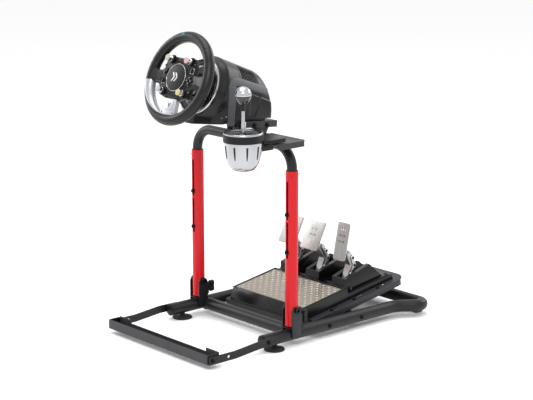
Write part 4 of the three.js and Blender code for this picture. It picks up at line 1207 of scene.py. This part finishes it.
# ---------------------------------------------------------------- shifter
def build_shifter():
    """Bowl with slots drawn as near-black painted shade, flange, clamp, dished gate over a disc of painted
    shade, and the shelf that carries them.
    """
    bowl = turned([[0, -110], [16, -110], [24, -108], [33, -104], [40, -97], [45, -88], [49, -74],
                   [51.5, -58], [53.4, -40], [54, -24.2], [51, -24.2], [50.4, -40], [48.4, -58],
                   [46, -73], [42, -86.5], [37, -95], [31, -101], [22, -105], [15, -107], [0, -107]], 96)
    flange = turned([[50.5, -24.3], [57.5, -24.3], [57.5, -14], [56.7, -13], [56.7, -12], [57.5, -11],
                     [57.5, -4.2], [56.8, -3.4], [50.5, -3.4]], 96, ring=True)
    add_piece("shifter_bowl", [bowl], SHIFTER, "upper", bowl_plate(), ("shifter_body",), 40)
    add_piece("shifter_flange", [flange], SHIFTER, "upper", moulded_abs(), angle=34)
    # Painted shade: the bowl's slots are near-black strips standing on the plated bowl, for the dark
    # inside seen through them.
    slots = []
    profile = np.array([[49.6, -72], [51.9, -60], [53.1, -48], [54.2, -34]])
    for k in range(9):
        turn = math.radians(40 * k + 12)
        across = np.array([-math.sin(turn), math.cos(turn)])
        out = np.array([math.cos(turn), math.sin(turn)])
        rows = []
        for (r, z), half in zip(profile, (1.4, 2.4, 3, 3.2)):
            corners = [(-half, -1.6), (-half + 0.4, 0.35), (half - 0.4, 0.35), (half, -1.6)]
            rows.append([[*(out * (r + lift) + across * along), z] for along, lift in corners])
        slots.append(grid(np.array(rows)))
    add_piece("shifter_bowl_slot_shade", slots, SHIFTER, "upper", painted_shade_and_print(), angle=30)
    dressed("gate_plate", "upper", satin_steel(), 0.5)
    rim = turned([[43, 0], [46, 1.4], [50, 2.6], [54.5, 2.8], [56.4, 1.8], [56.6, -0.4], [52, -0.6],
                  [43, -0.6]], 128, ring=True)
    add_piece("gate_dish_rim", [rim], SHIFTER, "upper", bowl_plate(), angle=60)
    # Painted shade: a near-black disc under the gate, seen through its slots, stands for the dark inside
    # of the bowl.
    gate_shade_disc = slab(circle(44, 96), -6.6, -5.8, 0.2)
    add_piece("gate_slot_painted_shade", [gate_shade_disc], SHIFTER, "upper", painted_shade_and_print())
    bars = [slab(fillet(square((x, y), 0.5, 2.2), 0.3), -0.2, 0.15, 0.1)
            for y in (24, -24) for x in (-13, 0, 13)]
    add_piece("gate_legend_bars", bars, SHIFTER, "upper", painted_shade_and_print())
    spots = [(49 * math.cos(t), 49 * math.sin(t), 2.2) for t in np.radians(range(30, 390, 60))]
    bolt("gate_screws", "upper", SHIFTER, spots, None, 2.8, 1.6)
    dressed("shifter_clamp", "upper", moulded_abs(), 1.2)
    dressed("shifter_shelf", "upper", grey_powder_coat(), 0.9)


def build_lever():
    """Chromed lever, its threaded collar, the two-part knob and the gimbal under the gate."""
    rod = turned([[0, -66], [3.5, -66], [3.5, 12], [5, 12.6], [5, 63], [0, 63]], 40)
    hub = turned([[0, -61], [6, -61], [6, -39], [5, -38], [0, -38]], 32)
    pin = moved(disc(3, -13, 13, 24), (0, 0, -52), "x")
    add_piece("shift_lever_rod", [rod, hub, pin], SHIFTER, "lever", bowl_plate(),
              ("shift_lever",), 30)
    threads = [[5.5 + 0.4 * (k % 2), 63.6 + k * 0.9] for k in range(20)]
    collar = turned([[0, 62.5], [5.4, 62.5], *threads, [5.4, 82], [0, 82]], 40)
    add_piece("shift_lever_collar", [collar], SHIFTER, "lever", black_oxide(), angle=20)
    lower = turned([[0, 81], [6, 81], [8.6, 82], [11.6, 84.2], [15.2, 87.8], [18.6, 92], [21.6, 97.2],
                    [23.4, 102], [23.9, 104.6], [23.9, 106.4], [0, 106.4]], 96)
    add_piece("shift_knob_base", [lower], SHIFTER, "lever", gloss_abs(), angle=40)
    t = np.linspace(0, np.pi / 2, 24)
    top = [[24.2 * math.cos(u), 108.5 + 24 * math.sin(u)] for u in t]
    upper = turned([[0, 106.2], [23.4, 106.2], [24.1, 107], *top], 96)
    add_piece("shift_knob_crown", [upper], SHIFTER, "lever", polished_chrome(),
              ("shift_knob",), 40)
    dressed("gimbal_ring", "gimbal", satin_steel(), 0.4)


# ---------------------------------------------------------------- stage
CAMERA_TURN = 48.53094  # degrees round from the front, towards the shifter
CAMERA_DIP = 12.85248  # degrees below the horizon that it looks
CAMERA_LENS = 110.4814  # mm, on a 36 mm wide sensor


def build_stage():
    """Pale floor, white surroundings, soft studio lamps and the camera."""
    mesh = bpy.data.meshes.new("floor")
    mesh.from_pydata([(x, y, 0) for x, y in square((0, 0), 60, 60)], [], [[0, 1, 2, 3]])
    floor = bpy.data.objects.new("floor", mesh)
    bpy.context.scene.collection.objects.link(floor)
    pale = bpy.data.materials.new("floor_pale")
    pale.use_nodes = True
    surface = pale.node_tree.nodes["Principled BSDF"]
    surface.inputs["Base Color"].default_value = (0.95, 0.95, 0.95, 1)
    surface.inputs["Roughness"].default_value = 0.85
    surface.inputs["Specular IOR Level"].default_value = 0.1
    mesh.materials.append(pale)

    world = bpy.data.worlds.new("studio")
    bpy.context.scene.world = world
    world.use_nodes = True
    background = world.node_tree.nodes["Background"]
    background.inputs["Color"].default_value = (1, 1, 1, 1)
    background.inputs["Strength"].default_value = bpy.context.scene.rig_stage.surroundings

    lamps = (("key", (2.4, -2.2, 3.2), (1.6, 1.6), 1.0), ("top", (-0.3, -0.2, 3.6), (2.6, 2.2), 0.9),
             ("left", (-3.0, -1.4, 1.8), (1.2, 2.2), 0.55), ("back", (0.4, 3.2, 2.2), (2.4, 1.2), 0.5))
    for name, spot, extent, share in lamps:
        data = bpy.data.lights.new(name, "AREA")
        data.shape = "RECTANGLE"
        data.size, data.size_y = extent
        data.energy = bpy.context.scene.rig_stage.lamp_power * share
        lamp = bpy.data.objects.new(name, data)
        lamp.location = spot
        lamp.rotation_mode = "QUATERNION"
        lamp.rotation_quaternion = (Vector((0, 0, 0.4)) - Vector(spot)).to_track_quat("-Z", "Y")
        bpy.context.scene.collection.objects.link(lamp)

    data = bpy.data.cameras.new("camera")
    data.sensor_width = 36
    data.lens = CAMERA_LENS
    data.clip_end = 200
    camera = bpy.data.objects.new("camera", data)
    camera.location = (3.649307, -3.132149 + POST_Y, 1.502335)
    camera.rotation_euler = (math.radians(90 - CAMERA_DIP), 0, math.radians(CAMERA_TURN))
    bpy.context.scene.collection.objects.link(camera)
    bpy.context.scene.camera = camera
    bpy.context.scene.view_settings.view_transform = "Standard"


# ---------------------------------------------------------------- add-on
def length_field(name, words, default, low, high):
    """A size in metres."""
    return FloatProperty(name=name, description=words, default=default, min=low, max=high,
                         subtype="DISTANCE", unit="LENGTH", precision=4)


def colour_field(name, words, code):
    """A linear colour given by its sRGB hex value."""
    return FloatVectorProperty(name=name, description=words, default=linear(code), size=3, min=0,
                               max=1, subtype="COLOR")


class RigSizes(bpy.types.PropertyGroup):
    """Sizes that can be changed without moving a joint."""

    tube_radius: length_field("Floor tube radius", "Outside radius of the stand's floor tube", 0.019,
                              0.015, 0.019)
    rim_radius: length_field("Rim radius", "From the wheel's axis to the middle of its rim", 0.124,
                             0.118, 0.124)
    tread_spacing: length_field("Tread spacing", "Distance between bars on the heel plate", 0.013,
                                0.009, 0.02)


class RigColours(bpy.types.PropertyGroup):
    """Colours of the painted and moulded parts."""

    frame: colour_field("Frame", "Powder coat of the stand's tubes", "#1a1b1d")
    posts: colour_field("Posts", "Powder coat of the two posts", "#c0101a")
    sheet: colour_field("Sheet", "Powder coat of the folded sheets", "#303134")
    housing: colour_field("Housing", "Wheel base housing", "#111113")
    grip: colour_field("Grip", "Leather of the steering wheel", "#0e0e0f")
    trim: colour_field("Trim", "Paint of the wheel's lower trim", "#a9acb0")


class RigStage(bpy.types.PropertyGroup):
    """Strength of the studio light."""

    surroundings: FloatProperty(name="Surroundings", description="Strength of the white surroundings",
                                default=1.0, min=0, max=4)
    lamp_power: FloatProperty(name="Lamp power", description="Power of the key lamp", default=62,
                              min=0, max=1000, unit="POWER")


class RIG_OT_floor_frame(bpy.types.Operator):
    """Floor tube, cross tube, strut, weld beads, end plugs and side bolts"""

    bl_idname = "rig.floor_frame"
    bl_label = "Floor frame"

    def execute(self, context):
        build_floor_frame()
        return {"FINISHED"}


class RIG_OT_feet(bpy.types.Operator):
    """Rubber rear pads and levelling feet"""

    bl_idname = "rig.feet"
    bl_label = "Feet"

    def execute(self, context):
        build_feet()
        return {"FINISHED"}


class RIG_OT_brackets(bpy.types.Operator):
    """Folding brackets, pivot bolts and star knobs"""

    bl_idname = "rig.brackets"
    bl_label = "Post brackets"

    def execute(self, context):
        build_brackets()
        return {"FINISHED"}


class RIG_OT_posts(bpy.types.Operator):
    """Slotted posts, their sleeves and the height bolts"""

    bl_idname = "rig.posts"
    bl_label = "Posts"

    def execute(self, context):
        build_posts()
        return {"FINISHED"}


class RIG_OT_hoop(bpy.types.Operator):
    """The hoop that slides in the posts"""

    bl_idname = "rig.hoop"
    bl_label = "Hoop"

    def execute(self, context):
        build_hoop()
        return {"FINISHED"}


class RIG_OT_footrest(bpy.types.Operator):
    """Front bar, its arms and screws"""

    bl_idname = "rig.footrest"
    bl_label = "Footrest"

    def execute(self, context):
        build_footrest()
        return {"FINISHED"}


class RIG_OT_pedal_deck(bpy.types.Operator):
    """Inclined sheet deck and the moulded pedal base"""

    bl_idname = "rig.pedal_deck"
    bl_label = "Pedal deck"

    def execute(self, context):
        build_pedal_deck()
        return {"FINISHED"}


class RIG_OT_heel_plate(bpy.types.Operator):
    """Tread plate and its rivets"""

    bl_idname = "rig.heel_plate"
    bl_label = "Heel plate"

    def execute(self, context):
        build_heel_plate()
        return {"FINISHED"}


class RIG_OT_pedals(bpy.types.Operator):
    """Clutch, brake and throttle: plates, arms and castings"""

    bl_idname = "rig.pedals"
    bl_label = "Pedals"

    def execute(self, context):
        build_pedals()
        return {"FINISHED"}


class RIG_OT_wheel_mount(bpy.types.Operator):
    """Bracket, tilting deck and seat of the wheel base"""

    bl_idname = "rig.wheel_mount"
    bl_label = "Wheel mount"

    def execute(self, context):
        build_wheel_mount()
        return {"FINISHED"}


class RIG_OT_housing(bpy.types.Operator):
    """Shell, side arches, vents and bezel rings of the wheel base"""

    bl_idname = "rig.housing"
    bl_label = "Wheel base housing"

    def execute(self, context):
        build_housing()
        return {"FINISHED"}


class RIG_OT_rim(bpy.types.Operator):
    """Leather rim, spokes, stitching and centre mark"""

    bl_idname = "rig.rim"
    bl_label = "Rim"

    def execute(self, context):
        build_rim()
        return {"FINISHED"}


class RIG_OT_lower_trim(bpy.types.Operator):
    """Silver trim and the lower spoke"""

    bl_idname = "rig.lower_trim"
    bl_label = "Lower trim"

    def execute(self, context):
        build_lower_trim()
        return {"FINISHED"}


class RIG_OT_button_plate(bpy.types.Operator):
    """Faceted plate with its islands, screws and legends"""

    bl_idname = "rig.button_plate"
    bl_label = "Button plate"

    def execute(self, context):
        build_button_plate()
        return {"FINISHED"}


class RIG_OT_hub_cap(bpy.types.Operator):
    """Domed cap, silver ring and chevrons"""

    bl_idname = "rig.hub_cap"
    bl_label = "Hub cap"

    def execute(self, context):
        build_hub_cap()
        return {"FINISHED"}


class RIG_OT_controls(bpy.types.Operator):
    """Rotary knobs, mini sticks, direction pad, buttons and paddles"""

    bl_idname = "rig.controls"
    bl_label = "Controls"

    def execute(self, context):
        build_controls()
        return {"FINISHED"}


class RIG_OT_column(bpy.types.Operator):
    """Shaft, quick-release ring, pulleys, belt and motor"""

    bl_idname = "rig.column"
    bl_label = "Column and drive"

    def execute(self, context):
        build_column()
        return {"FINISHED"}


class RIG_OT_shifter(bpy.types.Operator):
    """Bowl, gate, clamp and shelf"""

    bl_idname = "rig.shifter"
    bl_label = "Shifter"

    def execute(self, context):
        build_shifter()
        return {"FINISHED"}


class RIG_OT_lever(bpy.types.Operator):
    """Lever, collar, knob and gimbal ring"""

    bl_idname = "rig.lever"
    bl_label = "Shift lever"

    def execute(self, context):
        build_lever()
        return {"FINISHED"}


class RIG_OT_stage(bpy.types.Operator):
    """Floor, surroundings, lamps and camera"""

    bl_idname = "rig.stage"
    bl_label = "Stage"

    def execute(self, context):
        build_stage()
        return {"FINISHED"}


PIECES = (
    RIG_OT_floor_frame, RIG_OT_feet, RIG_OT_brackets, RIG_OT_posts,
    RIG_OT_hoop, RIG_OT_footrest, RIG_OT_pedal_deck, RIG_OT_heel_plate,
    RIG_OT_pedals, RIG_OT_wheel_mount, RIG_OT_housing, RIG_OT_rim,
    RIG_OT_lower_trim, RIG_OT_button_plate, RIG_OT_hub_cap, RIG_OT_controls,
    RIG_OT_column, RIG_OT_shifter, RIG_OT_lever, RIG_OT_stage,
)
GROUPS = (("rig_sizes", RigSizes), ("rig_colours", RigColours), ("rig_stage", RigStage))


class RIG_PT_sidebar(bpy.types.Panel):
    """Lists the rig's settings and the steps that build it."""

    bl_label = "Racing Wheel Rig"
    bl_idname = "RIG_PT_sidebar"
    bl_space_type = "VIEW_3D"
    bl_region_type = "UI"
    bl_category = "Wheel Rig"

    def draw(self, context):
        for name, group in GROUPS:
            box = self.layout.box()
            for field in group.__annotations__:
                box.prop(getattr(context.scene, name), field)
        for piece in PIECES:
            self.layout.operator(piece.bl_idname)


def register():
    """Registers the settings, the operators and the panel."""
    for name, group in GROUPS:
        bpy.utils.register_class(group)
        setattr(bpy.types.Scene, name, PointerProperty(type=group))
    for made in (*PIECES, RIG_PT_sidebar):
        bpy.utils.register_class(made)


def unregister():
    """Undoes register in reverse order."""
    for made in (RIG_PT_sidebar, *PIECES[::-1]):
        bpy.utils.unregister_class(made)
    for name, group in GROUPS[::-1]:
        delattr(bpy.types.Scene, name)
        bpy.utils.unregister_class(group)


def main():
    """Builds every piece in order."""
    register()
    for piece in PIECES:
        getattr(bpy.ops.rig, piece.bl_idname.split(".")[1])()
    bpy.context.view_layer.update()


if __name__ == "__main__":
    main()
